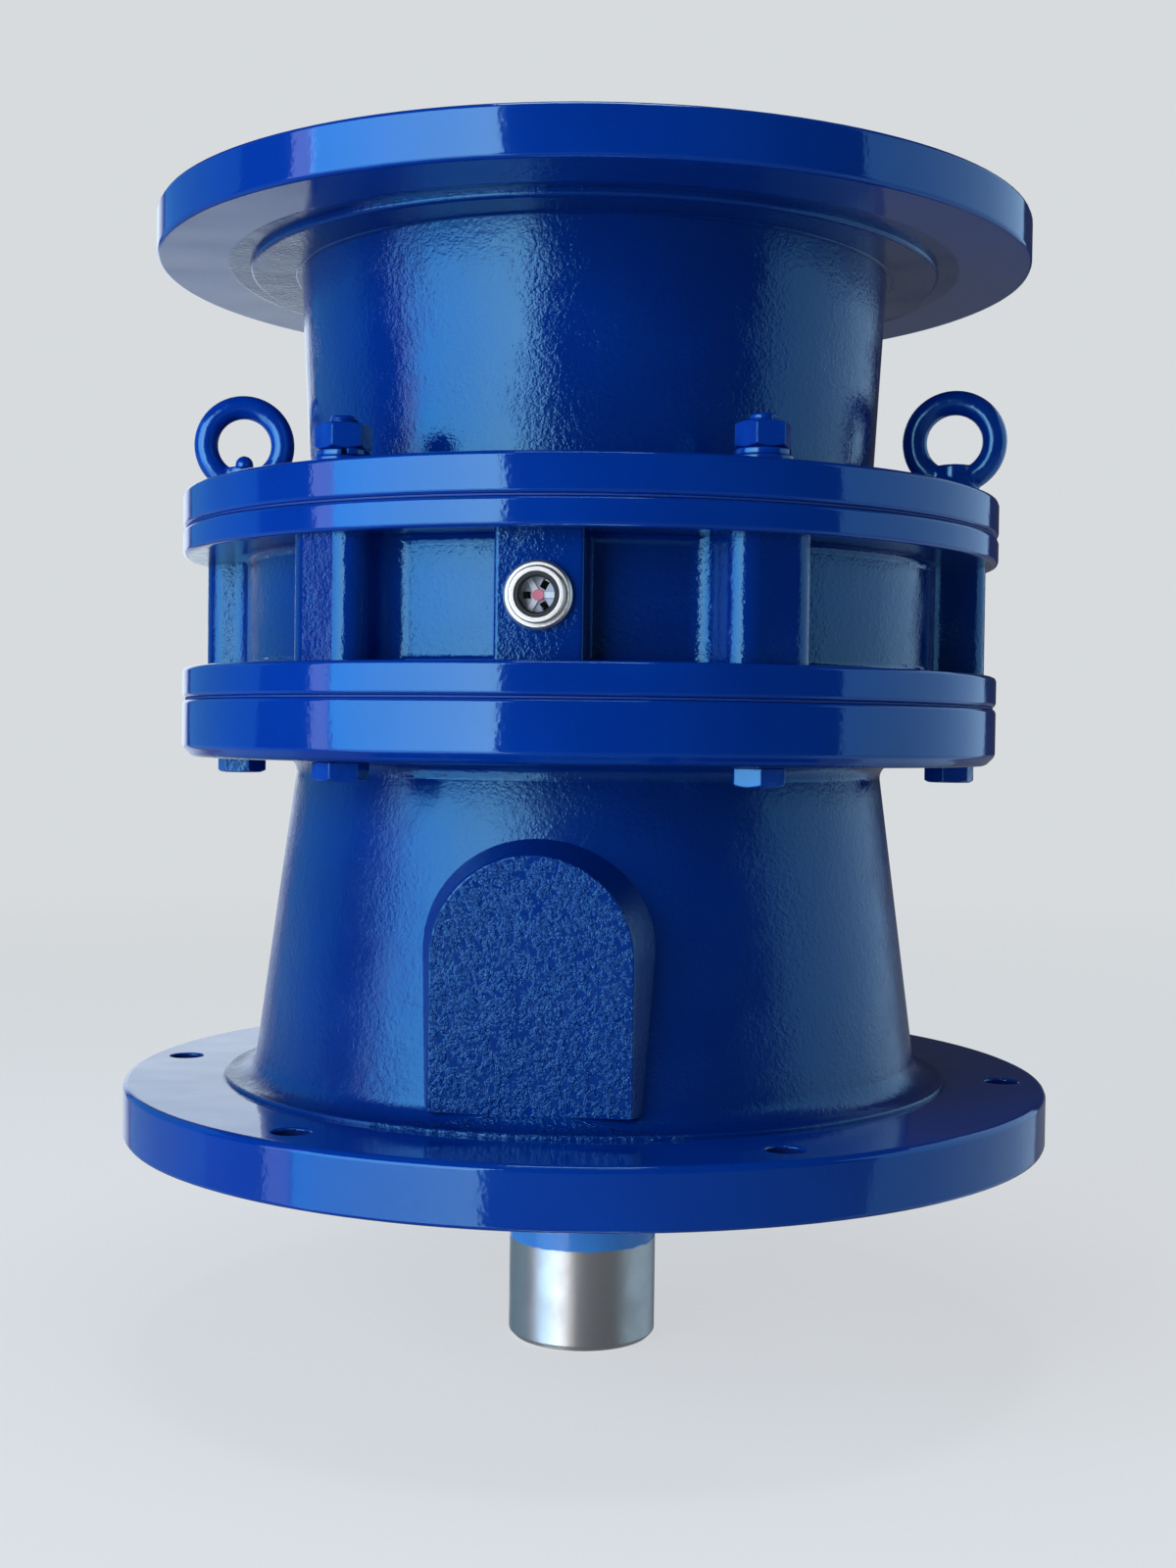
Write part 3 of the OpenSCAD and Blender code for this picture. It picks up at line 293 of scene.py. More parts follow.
# The mounting holes' bores are coloured near-black: bare, oiled iron where they are drilled through the
# paint, and painted shade for the dark inside of the through holes
hole_circle, hole_radius, half_step = 0.155, 0.006, math.radians(30)
angle = add_node(tree, "ShaderNodeMath", {"operation": "ARCTAN2"}, {
    0: xyz.outputs[1], 1: xyz.outputs[0]})
sixth = add_node(tree, "ShaderNodeMath", {"operation": "PINGPONG"}, {0: angle, 1: half_step})
out_along = add_node(tree, "ShaderNodeMath", {"operation": "COSINE"}, {0: sixth})
out_across = add_node(tree, "ShaderNodeMath", {"operation": "SINE"}, {0: sixth})
polar = add_node(tree, "ShaderNodeCombineXYZ", inputs={0: out_along, 1: out_across})
folded = add_node(tree, "ShaderNodeVectorMath", {"operation": "SCALE"}, {0: polar, "Scale": radius})
from_hole = add_node(tree, "ShaderNodeVectorMath", {"operation": "DISTANCE"}, {
    0: folded, 1: (hole_circle, 0.0, 0.0)})
bore = add_node(tree, "ShaderNodeMapRange", inputs={
    "Value": from_hole, "From Min": hole_radius + sharp_edge, "From Max": hole_radius - sharp_edge})
bare_and_shaded_bores = add_node(tree, "ShaderNodeMath", {"operation": "MULTIPLY"}, {0: bore, 1: foot})
finish_surface(tree, (bare_and_shaded_bores, shade, "1B1A1F"), gloss, relief, {
    "IOR": 1.63, "Specular Tint": linear("8ADEFF"), "Coat Weight": lacquer, "Coat Roughness": 0.05,
    "Coat Normal": relief})
soften("output_housing", 0.8, enamel)

# ---- Bearings -------------------------------------------------------------------------------
# Deep-groove ball bearings of chromium steel: two carry the output shaft, one the input shaft,
# and a small pilot bearing sits in the output shaft's end. Rings and balls are ground.


def turning_lines(tree, place, wide, detail, roughness=0.5, axis=2):
    """Fine lines round one of the axes, as a lathe or a grinding wheel leaves them. They are drawn
    this many millimetres apart, coarser than real ones, so that they show."""
    xyz, radius = round_axis(tree, place, axis)
    across = add_node(tree, "ShaderNodeCombineXYZ", inputs={0: radius, 1: xyz.outputs[axis]})
    return add_node(tree, "ShaderNodeTexNoise", inputs={
        "Vector": across, "Scale": per_mm(wide), "Detail": detail, "Roughness": roughness})


# Ground bearing steel: a cool, bright metal with the wheel's fine lines running round the axis,
# and a faint brown bloom of dried oil.
bearing_steel, tree, place = new_material("ground_bearing_steel")
lines = turning_lines(tree, place, 0.35, 2.0)
bloom = add_node(tree, "ShaderNodeTexNoise", inputs={
    "Vector": place, "Scale": per_mm(9), "Detail": 4.0, "Roughness": 0.6})
finish_surface(tree, (bloom, "D6D8DA", "C2BDB2"), (lines, 0.14, 0.30), (lines, 0.3, 0.00002), {
    "Metallic": 1.0})
for bearing in ("lower", "upper", "input", "pilot"):
    paint_cad(bearing_steel, bearing + "_bearing_outer", bearing + "_bearing_inner",
              bearing + "_bearing_balls")

# ---- Output shaft ---------------------------------------------------------------------------
# One forging of carbon steel, turned all over: the flange that holds the output pins, two bearing
# seats, the seal's seat and the keyed end. The spray that paints the housing reaches its neck.

# Turned steel under preserving oil, blue down to the masking tape's edge: fine turning lines round
# the axis, a dull patch where it was handled, and the enamel's gloss above.
shaft_steel, tree, place = new_material("turned_steel_with_masked_paint")
tape_edge, ragged, spray_limit, centre_bore = -0.043, 0.0007, -0.0042, 0.022
xyz, radius = round_axis(tree, place)
lines = turning_lines(tree, place, 0.7, 3.0, 0.7)
handled = add_node(tree, "ShaderNodeTexNoise", inputs={
    "Vector": place, "Scale": per_mm(14), "Detail": 4.0, "Roughness": 0.6})
creep = add_node(tree, "ShaderNodeTexNoise", inputs={"Vector": place, "Scale": per_mm(6), "Detail": 2.0})
edge_z = add_node(tree, "ShaderNodeMapRange", inputs={
    "Value": creep, "To Min": tape_edge - ragged, "To Max": tape_edge + ragged})
above = add_node(tree, "ShaderNodeMath", {"operation": "SUBTRACT"}, {0: xyz.outputs[2], 1: edge_z})
past_tape = add_node(tree, "ShaderNodeMapRange", inputs={
    "Value": above, "From Min": -0.0002, "From Max": 0.0002})
under = add_node(tree, "ShaderNodeMath", {"operation": "LESS_THAN"}, {0: xyz.outputs[2], 1: spray_limit})
outside = add_node(tree, "ShaderNodeMath", {"operation": "LESS_THAN"}, {0: centre_bore, 1: radius})
reached = add_node(tree, "ShaderNodeMath", {"operation": "MULTIPLY"}, {0: under, 1: outside})
painted = add_node(tree, "ShaderNodeMath", {"operation": "MULTIPLY"}, {0: past_tape, 1: reached})
bare = add_node(tree, "ShaderNodeMath", {"operation": "SUBTRACT"}, {0: 1.0, 1: painted})
dull = add_node(tree, "ShaderNodeMapRange", inputs={
    "Value": handled, "From Min": 0.3, "From Max": 0.7, "To Min": 0.33, "To Max": 0.48})
gloss = add_node(tree, "ShaderNodeMix", {"data_type": "FLOAT"}, {
    "Factor_Float": painted, "A_Float": dull, "B_Float": 0.22})
# Painted light: the enamel on the neck is drawn a much lighter blue than the same enamel on the housing,
# standing in for the light that the neck catches
colours = (painted, (handled, "D2CDC6", "B6B1AA"), "4898E8")
finish_surface(tree, colours, gloss, (lines, 0.4, 0.00004), {"Metallic": bare})
soften("output_shaft", 0.3, shaft_steel, "output_shaft")

# ---- Output pins and their rollers ----------------------------------------------------------
# Ten hardened pins, pressed into the shaft's flange, reach through both discs. A loose roller on
# each one takes the disc's push. Pins and rollers are turned, hardened and ground.


def turned(profile, sides=48, closed=False):
    """A mesh turned about Z from (radius, height) in mm, or from rules that give them for an angle.
    A closed profile makes a ring, and an open one starts and ends on the axis."""
    shape = bmesh.new()
    rows = []
    for entry in profile:
        row = []
        for i in range(sides):
            angle = i * 2 * math.pi / sides
            r, z = entry(angle) if callable(entry) else entry
            row.append(shape.verts.new((r * math.cos(angle) / 1000, r * math.sin(angle) / 1000, z / 1000)))
            if r == 0:
                break
        rows.append(row)
    for below, above in zip(rows, rows[1:] + rows[:1] if closed else rows[1:]):
        for i in range(sides):
            j = (i + 1) % sides
            corners = [below[i % len(below)], below[j % len(below)],
                       above[j % len(above)], above[i % len(above)]]
            corners = [c for k, c in enumerate(corners) if c is not corners[k - 1]]
            shape.faces.new(corners)
    bmesh.ops.recalc_face_normals(shape, faces=shape.faces)
    mesh = bpy.data.meshes.new("turned")
    shape.to_mesh(mesh)
    shape.free()
    return mesh


def run_tree(name, tree, sizes, start):
    """Runs a Geometry Nodes tree on a mesh, its inputs set by name, and keeps the plain result."""
    piece = bpy.data.objects.new(name, start)
    bpy.context.collection.objects.link(piece)
    modifier = piece.modifiers.new(name, "NODES")
    modifier.node_group = tree
    for socket in tree.interface.items_tree:
        if socket.name in sizes:
            modifier[socket.identifier] = sizes[socket.name]
    keep_result(piece)
    piece.data.materials.append(sizes["Finish"])
    piece.data.set_sharp_from_angle(angle=math.radians(30))
    return piece


def new_tree(name, **inputs):
    """A Geometry Nodes tree with named inputs, its input node, and a call that ends it."""
    tree = bpy.data.node_groups.new(name, "GeometryNodeTree")
    for label, kind in {"Geometry": "Geometry", **inputs, "Finish": "Material"}.items():
        tree.interface.new_socket(label.replace("_", " "), in_out="INPUT", socket_type="NodeSocket" + kind)
    tree.interface.new_socket("Geometry", in_out="OUTPUT", socket_type="NodeSocketGeometry")
    given = tree.nodes.new("NodeGroupInput").outputs

    def end(geometry):
        real = add_node(tree, "GeometryNodeRealizeInstances", inputs={0: geometry})
        done = add_node(tree, "GeometryNodeSetMaterial", inputs={0: real, "Material": given["Finish"]})
        smooth = add_node(tree, "GeometryNodeSetShadeSmooth", inputs={0: done})
        tree.links.new(smooth.outputs[0], tree.nodes.new("NodeGroupOutput").inputs[0])

    return tree, given, end


# The ring that a dividing head drills: copies of one piece on a circle, each also turned about
# its own axis, and with every so many left out
ring_of_pieces, given, end = new_tree(
    "ring_of_pieces", Count="Int", Radius="Float", First_angle="Float", Own_turn="Float",
    Turn_step="Float", Left_out_every="Int")
index = add_node(ring_of_pieces, "GeometryNodeInputIndex")
step = add_node(ring_of_pieces, "ShaderNodeMath", {"operation": "DIVIDE"}, {
    0: 2 * math.pi, 1: given["Count"]})
angle = add_node(ring_of_pieces, "ShaderNodeMath", {"operation": "MULTIPLY_ADD"}, {
    0: index, 1: step, 2: given["First angle"]})
out = add_node(ring_of_pieces, "ShaderNodeCombineXYZ", inputs={0: given["Radius"]})
spot = add_node(ring_of_pieces, "ShaderNodeVectorRotate", {"rotation_type": "Z_AXIS"}, {
    "Vector": out, "Angle": angle})
spots = add_node(ring_of_pieces, "GeometryNodePoints", inputs={0: given["Count"], 1: spot})
own = add_node(ring_of_pieces, "ShaderNodeMath", {"operation": "MULTIPLY_ADD"}, {
    0: index, 1: given["Turn step"], 2: given["Own turn"]})
facing = add_node(ring_of_pieces, "ShaderNodeMath", {"operation": "ADD"}, {0: angle, 1: own})
turning = add_node(ring_of_pieces, "ShaderNodeCombineXYZ", inputs={2: facing})
rest = add_node(ring_of_pieces, "ShaderNodeMath", {"operation": "MODULO"}, {
    0: index, 1: given["Left out every"]})
kept = add_node(ring_of_pieces, "FunctionNodeCompare", {"operation": "GREATER_THAN"}, {0: rest, 1: 0.5})
none = add_node(ring_of_pieces, "FunctionNodeCompare", {"operation": "LESS_THAN"}, {
    0: given["Left out every"], 1: 0.5})
chosen = add_node(ring_of_pieces, "FunctionNodeBooleanMath", {"operation": "OR"}, {0: kept, 1: none})
copies = add_node(ring_of_pieces, "GeometryNodeInstanceOnPoints", inputs={
    "Points": spots, "Selection": chosen, "Instance": given["Geometry"], "Rotation": turning})
end(copies)


def ring(name, one, count, circle_mm, body, slot, finish, stands_for, first=0, turn=0, step=0, skip=0):
    """A ring of one piece that stands for a CAD node and rides on its body; angles in degrees."""
    piece = run_tree(name, ring_of_pieces, {
        "Count": count, "Radius": circle_mm / 2000, "First angle": math.radians(first),
        "Own turn": math.radians(turn), "Turn step": math.radians(step), "Left out every": skip,
        "Finish": finish}, one)
    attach(piece, body)
    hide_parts(stands_for)
    return piece


# Hardened and ground pin steel, wet with gear oil: mirror-like, with hair-fine grinding lines.
pin_steel, tree, place = new_material("hardened_ground_pins")
hairs = add_node(tree, "ShaderNodeTexNoise", inputs={
    "Vector": place, "Scale": per_mm(0.5), "Detail": 2.0})
oil = add_node(tree, "ShaderNodeTexNoise", inputs={"Vector": place, "Scale": per_mm(7), "Detail": 3.0})
finish_surface(tree, (oil, "DADCDD", "C9C3B4"), (oil, 0.08, 0.22), (hairs, 0.25, 0.00002), {
    "Metallic": 1.0})


def heights_mm(name):
    """The lowest and the highest Z of a CAD node in millimetres."""
    return [corner[2] * 1000 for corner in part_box(name)]


def rod(radius, low, high, edge):
    """The profile of a pin with chamfered ends."""
    return [(0, low), (radius - edge, low), (radius, low + edge), (radius, high - edge),
            (radius - edge, high), (0, high)]


def sleeve(outer, inner, low, high, edge):
    """The closed profile of a sleeve with chamfered ends."""
    return [(inner, low + edge), (inner + edge, low), (outer - edge, low), (outer, low + edge),
            (outer, high - edge), (outer - edge, high), (inner + edge, high), (inner, high - edge)]


output_pins, output_pin_circle = 10, 134
ring("output_pins_ground", turned(rod(6.98, *heights_mm("output_pins"), 0.8), 40), output_pins,
     output_pin_circle, "output_shaft", "ground_steel", pin_steel, "output_pins", first=18)
ring("output_rollers_ground", turned(sleeve(10, 7.05, *heights_mm("output_pin_rollers"), 0.6), 40, True),
     output_pins, output_pin_circle, "output_shaft", "ground_steel", pin_steel, "output_pin_rollers",
     first=18)

# ---- Output cover, its screws and seal ------------------------------------------------------
# A turned cast-iron cover closes the housing's bottom round the shaft. Six socket-head screws
# hold it, and a rubber lip seal is pressed into its bore.

# The same enamel on a machined face, without sand grain: glossy, with a faint orange peel, and
# darker where the film has pooled.
smooth_enamel, tree, place = new_material("machine_enamel_on_machined_parts")
peel = add_node(tree, "ShaderNodeTexNoise", inputs={
    "Vector": place, "Scale": per_mm(1.6), "Detail": 1.0})
pools = add_node(tree, "ShaderNodeTexNoise", inputs={"Vector": place, "Scale": per_mm(7), "Detail": 2.0})
rounds = add_node(tree, "ShaderNodeBevel", {"samples": 4}, {"Radius": 0.0007})
dips = add_node(tree, "ShaderNodeBump", inputs={
    "Height": pools, "Strength": 0.5, "Distance": 0.0003, "Normal": rounds})
orange = add_node(tree, "ShaderNodeBump", inputs={
    "Height": peel, "Strength": 0.35, "Distance": 0.0001, "Normal": dips})
finish_surface(tree, (pools, "002A86", "0040A8"), (pools, 0.12, 0.24), orange, {
    "IOR": 1.7, "Specular Tint": linear("81E3FF"), "Coat Weight": 0.25, "Coat Roughness": 0.05,
    "Coat Normal": orange})
soften("output_cover", 0.5, smooth_enamel)

# Black oxide on steel: a thin, dark, slightly brown conversion layer under oil, worn at the edges.
black_oxide, tree, place = new_material("black_oxide_on_steel")
tone = add_node(tree, "ShaderNodeTexNoise", inputs={
    "Vector": place, "Scale": per_mm(3), "Detail": 4.0, "Roughness": 0.6})
rounds = add_node(tree, "ShaderNodeBevel", {"samples": 4}, {"Radius": 0.0004})
here = add_node(tree, "ShaderNodeNewGeometry")
edge = add_node(tree, "ShaderNodeVectorMath", {"operation": "DOT_PRODUCT"}, {
    0: rounds, 1: here.outputs["Normal"]})
worn = add_node(tree, "ShaderNodeMapRange", inputs={"Value": edge, "From Min": 0.97, "From Max": 0.80})
pits = add_node(tree, "ShaderNodeBump", inputs={
    "Height": tone, "Strength": 0.3, "Distance": 0.00006, "Normal": rounds})
finish_surface(tree, (worn, (tone, "26262A", "3A3836"), "8A8C90"), (tone, 0.30, 0.48), pits, {
    "Metallic": 0.85})


def hexagon(across, height, turned_off=0.0):
    """A rule for turned(): a hexagon's outline at a height, whose corners drop away at 30 degrees,
    downwards for turned_off = 1 and upwards for -1."""
    flat_reach, washer_face, slope = across / 2, across * 0.475, math.tan(math.radians(30))

    def point(angle):
        reach = flat_reach / math.cos(angle % (math.pi / 3) - math.pi / 6)
        drop = max(0.0, reach - washer_face) * slope
        return reach, height - turned_off * drop

    return point


def socket_screw(thread, head, tip, low, high):
    """The profile of a socket-head screw, its head at the top and a hexagon socket sunk into it."""
    key = thread * 1.6
    return [(0, tip), (thread - 0.8, tip), (thread, tip + 0.8), (thread, low), (head - 0.4, low),
            (head, low + 0.4), (head, high - 0.6), (head - 0.6, high), (key * 0.62, high),
            hexagon(key, high - 0.5), hexagon(key, high - thread * 1.1), (0, high - thread * 1.3)]


def upside_down(mesh):
    """Turns a mesh over about X."""
    mesh.transform(Matrix.Rotation(math.pi, 4, "X"))
    return mesh


output_screw_circle = 138
screw_low, screw_high = heights_mm("output_cover_screws")
ring("output_cover_screws_socket", upside_down(turned(socket_screw(
    3.98, 6.5, -screw_high, -screw_low - 8, -screw_low))), 6, output_screw_circle, "housing", "black_oxide",
    black_oxide, "output_cover_screws")

# Moulded nitrile rubber: near black, matt, with a bloom and the mould's fine texture.
rubber, tree, place = new_material("moulded_nitrile_rubber")
bloom = add_node(tree, "ShaderNodeTexNoise", inputs={"Vector": place, "Scale": per_mm(5), "Detail": 4.0})
skin = add_node(tree, "ShaderNodeTexNoise", inputs={
    "Vector": place, "Scale": per_mm(0.6), "Detail": 2.0})
finish_surface(tree, (bloom, "141416", "27272A"), (bloom, 0.50, 0.72), (skin, 0.3, 0.00005), {"IOR": 1.5})
paint_cad(rubber, "output_seal")
paint_cad(black_oxide, "output_circlip")

# ---- Ring gear housing ----------------------------------------------------------------------
# The middle casting of grey iron: two rims joined by a waist, six bolt posts, and a square boss
# for the sight glass. Its bore holds the ring pins. It is painted with the housing.
soften("ring_gear_housing", 0.8, enamel)

# ---- Ring pins and sleeves ------------------------------------------------------------------
# Eighteen hardened pins stand half sunk in the housing's bore, and the sleeves that turn on them
# are the teeth that the discs roll round.
ring_pins, ring_pin_circle = 18, 220
ring("ring_pins_ground", turned(rod(5.48, *heights_mm("ring_pins"), 0.6), 32), ring_pins,
     ring_pin_circle, "housing", "ground_steel", pin_steel, "ring_pins")
ring("ring_sleeves_ground", turned(sleeve(8, 5.55, *heights_mm("ring_sleeves"), 0.5), 32, True),
     ring_pins, ring_pin_circle, "housing", "ground_steel", pin_steel, "ring_sleeves")

# ---- Cycloid discs --------------------------------------------------------------------------
# Two discs of hardened bearing steel with seventeen lobes each, half a turn apart. Their flanks
# are ground to the curve that rolls in the ring of sleeves, and ten holes take the output pins.

# Ground disc steel: the grinder's long lines, drawn coarser than real ones, under a film of oil.
disc_steel, tree, place = new_material("surface_ground_disc_steel")
along = add_node(tree, "ShaderNodeMapping", inputs={"Vector": place, "Scale": (1.0, 14.0, 3.0)})
lay = add_node(tree, "ShaderNodeTexNoise", inputs={
    "Vector": along, "Scale": per_mm(9), "Detail": 3.0, "Roughness": 0.7})
oil = add_node(tree, "ShaderNodeTexNoise", inputs={
    "Vector": place, "Scale": per_mm(16), "Detail": 4.0, "Roughness": 0.6})
finish_surface(tree, (oil, "CFD2D4", "B8B2A4"), (lay, 0.16, 0.34), (lay, 0.4, 0.00003), {"Metallic": 1.0},
               over=(0.3, 0.7))

# The rule of the flank: the vector to each point is the sum of three that turn at different
# speeds, one on the pin circle, one across the sleeve and one for the throw
cycloid, given, end = new_tree(
    "cycloid_disc", Lobes="Int", Points_per_lobe="Int", Pin_circle="Float", Sleeve="Float",
    Throw="Float", Thickness="Float", Level="Float", Half_turn="Float", Bore="Float",
    Hole="Float", Hole_circle="Float", Holes="Int")
known = {socket.name: socket for socket in given}
known["index"] = add_node(cycloid, "GeometryNodeInputIndex")
# One step a line: what it gives, what is done, and with what. Points crowd together in the
# valleys, where the flank bends most, so the turn t runs unevenly.
crowding = -0.8
for gives, operation, *terms in (
        ("total", "MULTIPLY", "Lobes", "Points per lobe"),
        ("pins", "ADD", "Lobes", 1.0),
        ("part", "DIVIDE", "index", "total"),
        ("even", "MULTIPLY", "part", 2 * math.pi),
        ("phase", "MULTIPLY", "even", "Lobes"),
        ("wave", "SINE", "phase"),
        ("share", "DIVIDE", crowding, "Lobes"),
        ("t", "MULTIPLY_ADD", "wave", "share", "even"),
        ("back", "MULTIPLY", "t", "Lobes"),
        ("minus", "MULTIPLY", "back", -1.0),
        ("rise", "SINE", "minus"),
        ("run", "COSINE", "minus"),
        ("speed", "MULTIPLY", "Throw", "pins"),
        ("ratio", "DIVIDE", "Pin circle", "speed"),
        ("side", "SUBTRACT", "ratio", "run"),
        ("lean", "ARCTAN2", "rise", "side"),
        ("leaning", "ADD", "t", "lean"),
        ("fast", "MULTIPLY", "t", "pins"),
        ("hole step", "DIVIDE", 2 * math.pi, "Holes"),
        ("halfway", "ADD", "index", 0.5),
        ("hole angle", "MULTIPLY", "halfway", "hole step")):
    known[gives] = add_node(cycloid, "ShaderNodeMath", {"operation": operation}, {
        slot: known.get(term, term) for slot, term in enumerate(terms)})
point = None
for angle, length in (("t", "Pin circle"), ("leaning", "Sleeve"), ("fast", "Throw")):
    arm = add_node(cycloid, "ShaderNodeCombineXYZ", inputs={0: given[length]})
    swung = add_node(cycloid, "ShaderNodeVectorRotate", {"rotation_type": "Z_AXIS", "invert": True}, {
        "Vector": arm, "Angle": known[angle]})
    point = swung if point is None else add_node(
        cycloid, "ShaderNodeVectorMath", {"operation": "SUBTRACT"}, {0: point, 1: swung})
blank = add_node(cycloid, "GeometryNodeCurvePrimitiveCircle", inputs={"Resolution": known["total"]})
flank = add_node(cycloid, "GeometryNodeSetPosition", inputs={0: blank, "Position": point})
bore = add_node(cycloid, "GeometryNodeCurvePrimitiveCircle", inputs={
    "Resolution": 72, "Radius": given["Bore"]})
hole = add_node(cycloid, "GeometryNodeCurvePrimitiveCircle", inputs={
    "Resolution": 40, "Radius": given["Hole"]})
hole_arm = add_node(cycloid, "ShaderNodeCombineXYZ", inputs={0: given["Hole circle"]})
hole_spot = add_node(cycloid, "ShaderNodeVectorRotate", {"rotation_type": "Z_AXIS"}, {
    "Vector": hole_arm, "Angle": known["hole angle"]})
hole_spots = add_node(cycloid, "GeometryNodePoints", inputs={0: given["Holes"], 1: hole_spot})
holes = add_node(cycloid, "GeometryNodeInstanceOnPoints", inputs={
    "Points": hole_spots, "Instance": hole})
real_holes = add_node(cycloid, "GeometryNodeRealizeInstances", inputs={0: holes})
outline = add_node(cycloid, "GeometryNodeJoinGeometry")
for curve in (flank, bore, real_holes):
    cycloid.links.new(curve.outputs[0], outline.inputs[0])
face = add_node(cycloid, "GeometryNodeFillCurve", inputs={0: outline})
up = add_node(cycloid, "ShaderNodeCombineXYZ", inputs={2: given["Thickness"]})
raised = add_node(cycloid, "GeometryNodeExtrudeMesh", inputs={
    "Mesh": face, "Offset": up, "Offset Scale": 1.0, "Individual": False})
bottom = add_node(cycloid, "GeometryNodeFlipFaces", inputs={0: face})
solid = add_node(cycloid, "GeometryNodeJoinGeometry")
for sheet in (raised, bottom):
    cycloid.links.new(sheet.outputs[0], solid.inputs[0])
closed = add_node(cycloid, "GeometryNodeMergeByDistance", inputs={0: solid, "Distance": 1e-6})
thrown = add_node(cycloid, "ShaderNodeCombineXYZ", inputs={0: given["Throw"]})
spun = add_node(cycloid, "ShaderNodeCombineXYZ", inputs={2: given["Half turn"]})
lifted = add_node(cycloid, "ShaderNodeCombineXYZ", inputs={2: given["Level"]})
seated = add_node(cycloid, "GeometryNodeTransform", inputs={0: closed, "Translation": thrown})
placed = add_node(cycloid, "GeometryNodeTransform", inputs={
    0: seated, "Translation": lifted, "Rotation": spun})
end(placed)

throw = 4.0
for level, half_turn in (("lower", 0.0), ("upper", math.pi)):
    cad_name = "cycloid_disc_" + level
    (_, _, disc_low), (_, _, disc_high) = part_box(cad_name)
    disc = run_tree("ground_disc_" + level, cycloid, {
        "Lobes": ring_pins - 1, "Points per lobe": 24, "Pin circle": ring_pin_circle / 2000,
        "Sleeve": 0.0082, "Throw": throw / 1000, "Thickness": disc_high - disc_low, "Level": disc_low,
        "Half turn": half_turn, "Bore": 0.0411, "Hole": 0.01415,
        "Hole circle": output_pin_circle / 2000, "Holes": output_pins, "Finish": disc_steel},
        bpy.data.meshes.new("blank"))
    edges = disc.modifiers.new("broken edges", "BEVEL")
    edges.width, edges.segments, edges.use_clamp_overlap = 0.0004, 1, False
    edges.limit_method, edges.angle_limit, edges.harden_normals = "ANGLE", math.radians(50), True
    keep_result(disc)
    disc.data.materials.append(disc_steel)
    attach(disc, level + "_disc")
    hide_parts(cad_name)
paint_cad(disc_steel, "disc_spacer")

# ---- Eccentric, its rollers and cages -------------------------------------------------------
# A keyed sleeve on the input shaft with two eccentric tracks. Twelve rollers in a bronze cage run
# on each track and carry its disc. A circlip holds the sleeve up.
paint_cad(bearing_steel, "eccentric_sleeve")
paint_cad(black_oxide, "eccentric_circlip")
for level, x in (("lower", throw), ("upper", -throw)):
    cad_name = level + "_eccentric_rollers"
    one = turned(rod(7, *heights_mm(cad_name), 0.5), 32)
    rollers = run_tree(level + "_rollers_ground", ring_of_pieces, {
        "Count": 12, "Radius": 0.03405, "First angle": math.radians(15), "Left out every": 0,
        "Finish": pin_steel}, one)
    rollers.data.transform(Matrix.Translation((x / 1000, 0, 0)))
    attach(rollers, level + "_cage")
    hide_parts(cad_name)

# Machined bronze: warm, turned, darkened by oil in patches.
bronze, tree, place = new_material("machined_cage_bronze")
tarnish = add_node(tree, "ShaderNodeTexNoise", inputs={
    "Vector": place, "Scale": per_mm(8), "Detail": 4.0, "Roughness": 0.6})
tool = add_node(tree, "ShaderNodeTexNoise", inputs={
    "Vector": place, "Scale": per_mm(0.7), "Detail": 2.0})
finish_surface(tree, (tarnish, "C9A15A", "8E6A34"), (tarnish, 0.22, 0.42), (tool, 0.3, 0.00004), {
    "Metallic": 1.0})
paint_cad(bronze, "lower_eccentric_cage", "upper_eccentric_cage")

# ---- Gaskets --------------------------------------------------------------------------------
# Two rings of oiled paper seal the joint faces. They are punched a little smaller than the
# flanges, so each leaves a narrow groove that the enamel only partly fills.

# Oiled gasket paper, brown inside and dark blue where the spray reached its edge.
paper, tree, place = new_material("oiled_gasket_paper")
fibres = add_node(tree, "ShaderNodeTexNoise", inputs={
    "Vector": place, "Scale": per_mm(2), "Detail": 4.0, "Roughness": 0.7})
_, radius = round_axis(tree, place)
brown_to, blue_from = 0.1475, 0.1485
sprayed = add_node(tree, "ShaderNodeMapRange", inputs={
    "Value": radius, "From Min": brown_to, "From Max": blue_from})
colours = (sprayed, (fibres, "6B6250", "4C4536"), (fibres, "00287A", "0C48A4"))
finish_surface(tree, colours, (fibres, 0.45, 0.75), (fibres, 0.5, 0.0001), {"IOR": 1.5})
paint_cad(paper, "lower_gasket", "upper_gasket")

# ---- Motor adapter --------------------------------------------------------------------------
# The upper casting of grey iron: lower flange, barrel, and the wide flange that takes the motor.
# A web across its foot carries the input bearing. It is painted with the rest.
soften("motor_adapter", 0.8, enamel)

# ---- Input shaft, bearing cover and seal ----------------------------------------------------
# A turned steel shaft whose hub has a keyed bore for the motor's shaft. A turned cover on six
# socket screws holds its bearing down, with a lip seal in its bore.

# Turned steel under oil: fine lines round the axis, and a duller, browner grey in patches.
input_steel, tree, place = new_material("turned_shaft_steel")
lines = turning_lines(tree, place, 0.6, 3.0, 0.7)
bloom = add_node(tree, "ShaderNodeTexNoise", inputs={
    "Vector": place, "Scale": per_mm(11), "Detail": 4.0, "Roughness": 0.6})
finish_surface(tree, (bloom, "C4C7CA", "9A9890"), (lines, 0.22, 0.40), (lines, 0.4, 0.00004), {
    "Metallic": 1.0}, over=(0.3, 0.7))
soften("input_shaft", 0.3, input_steel, "input_shaft")
paint_cad(input_steel, "eccentric_key")
soften("input_cover", 0.5, smooth_enamel)
paint_cad(rubber, "input_seal")
paint_cad(black_oxide, "input_circlip")
input_screw_circle = 104
screw_low, screw_high = heights_mm("input_cover_screws")
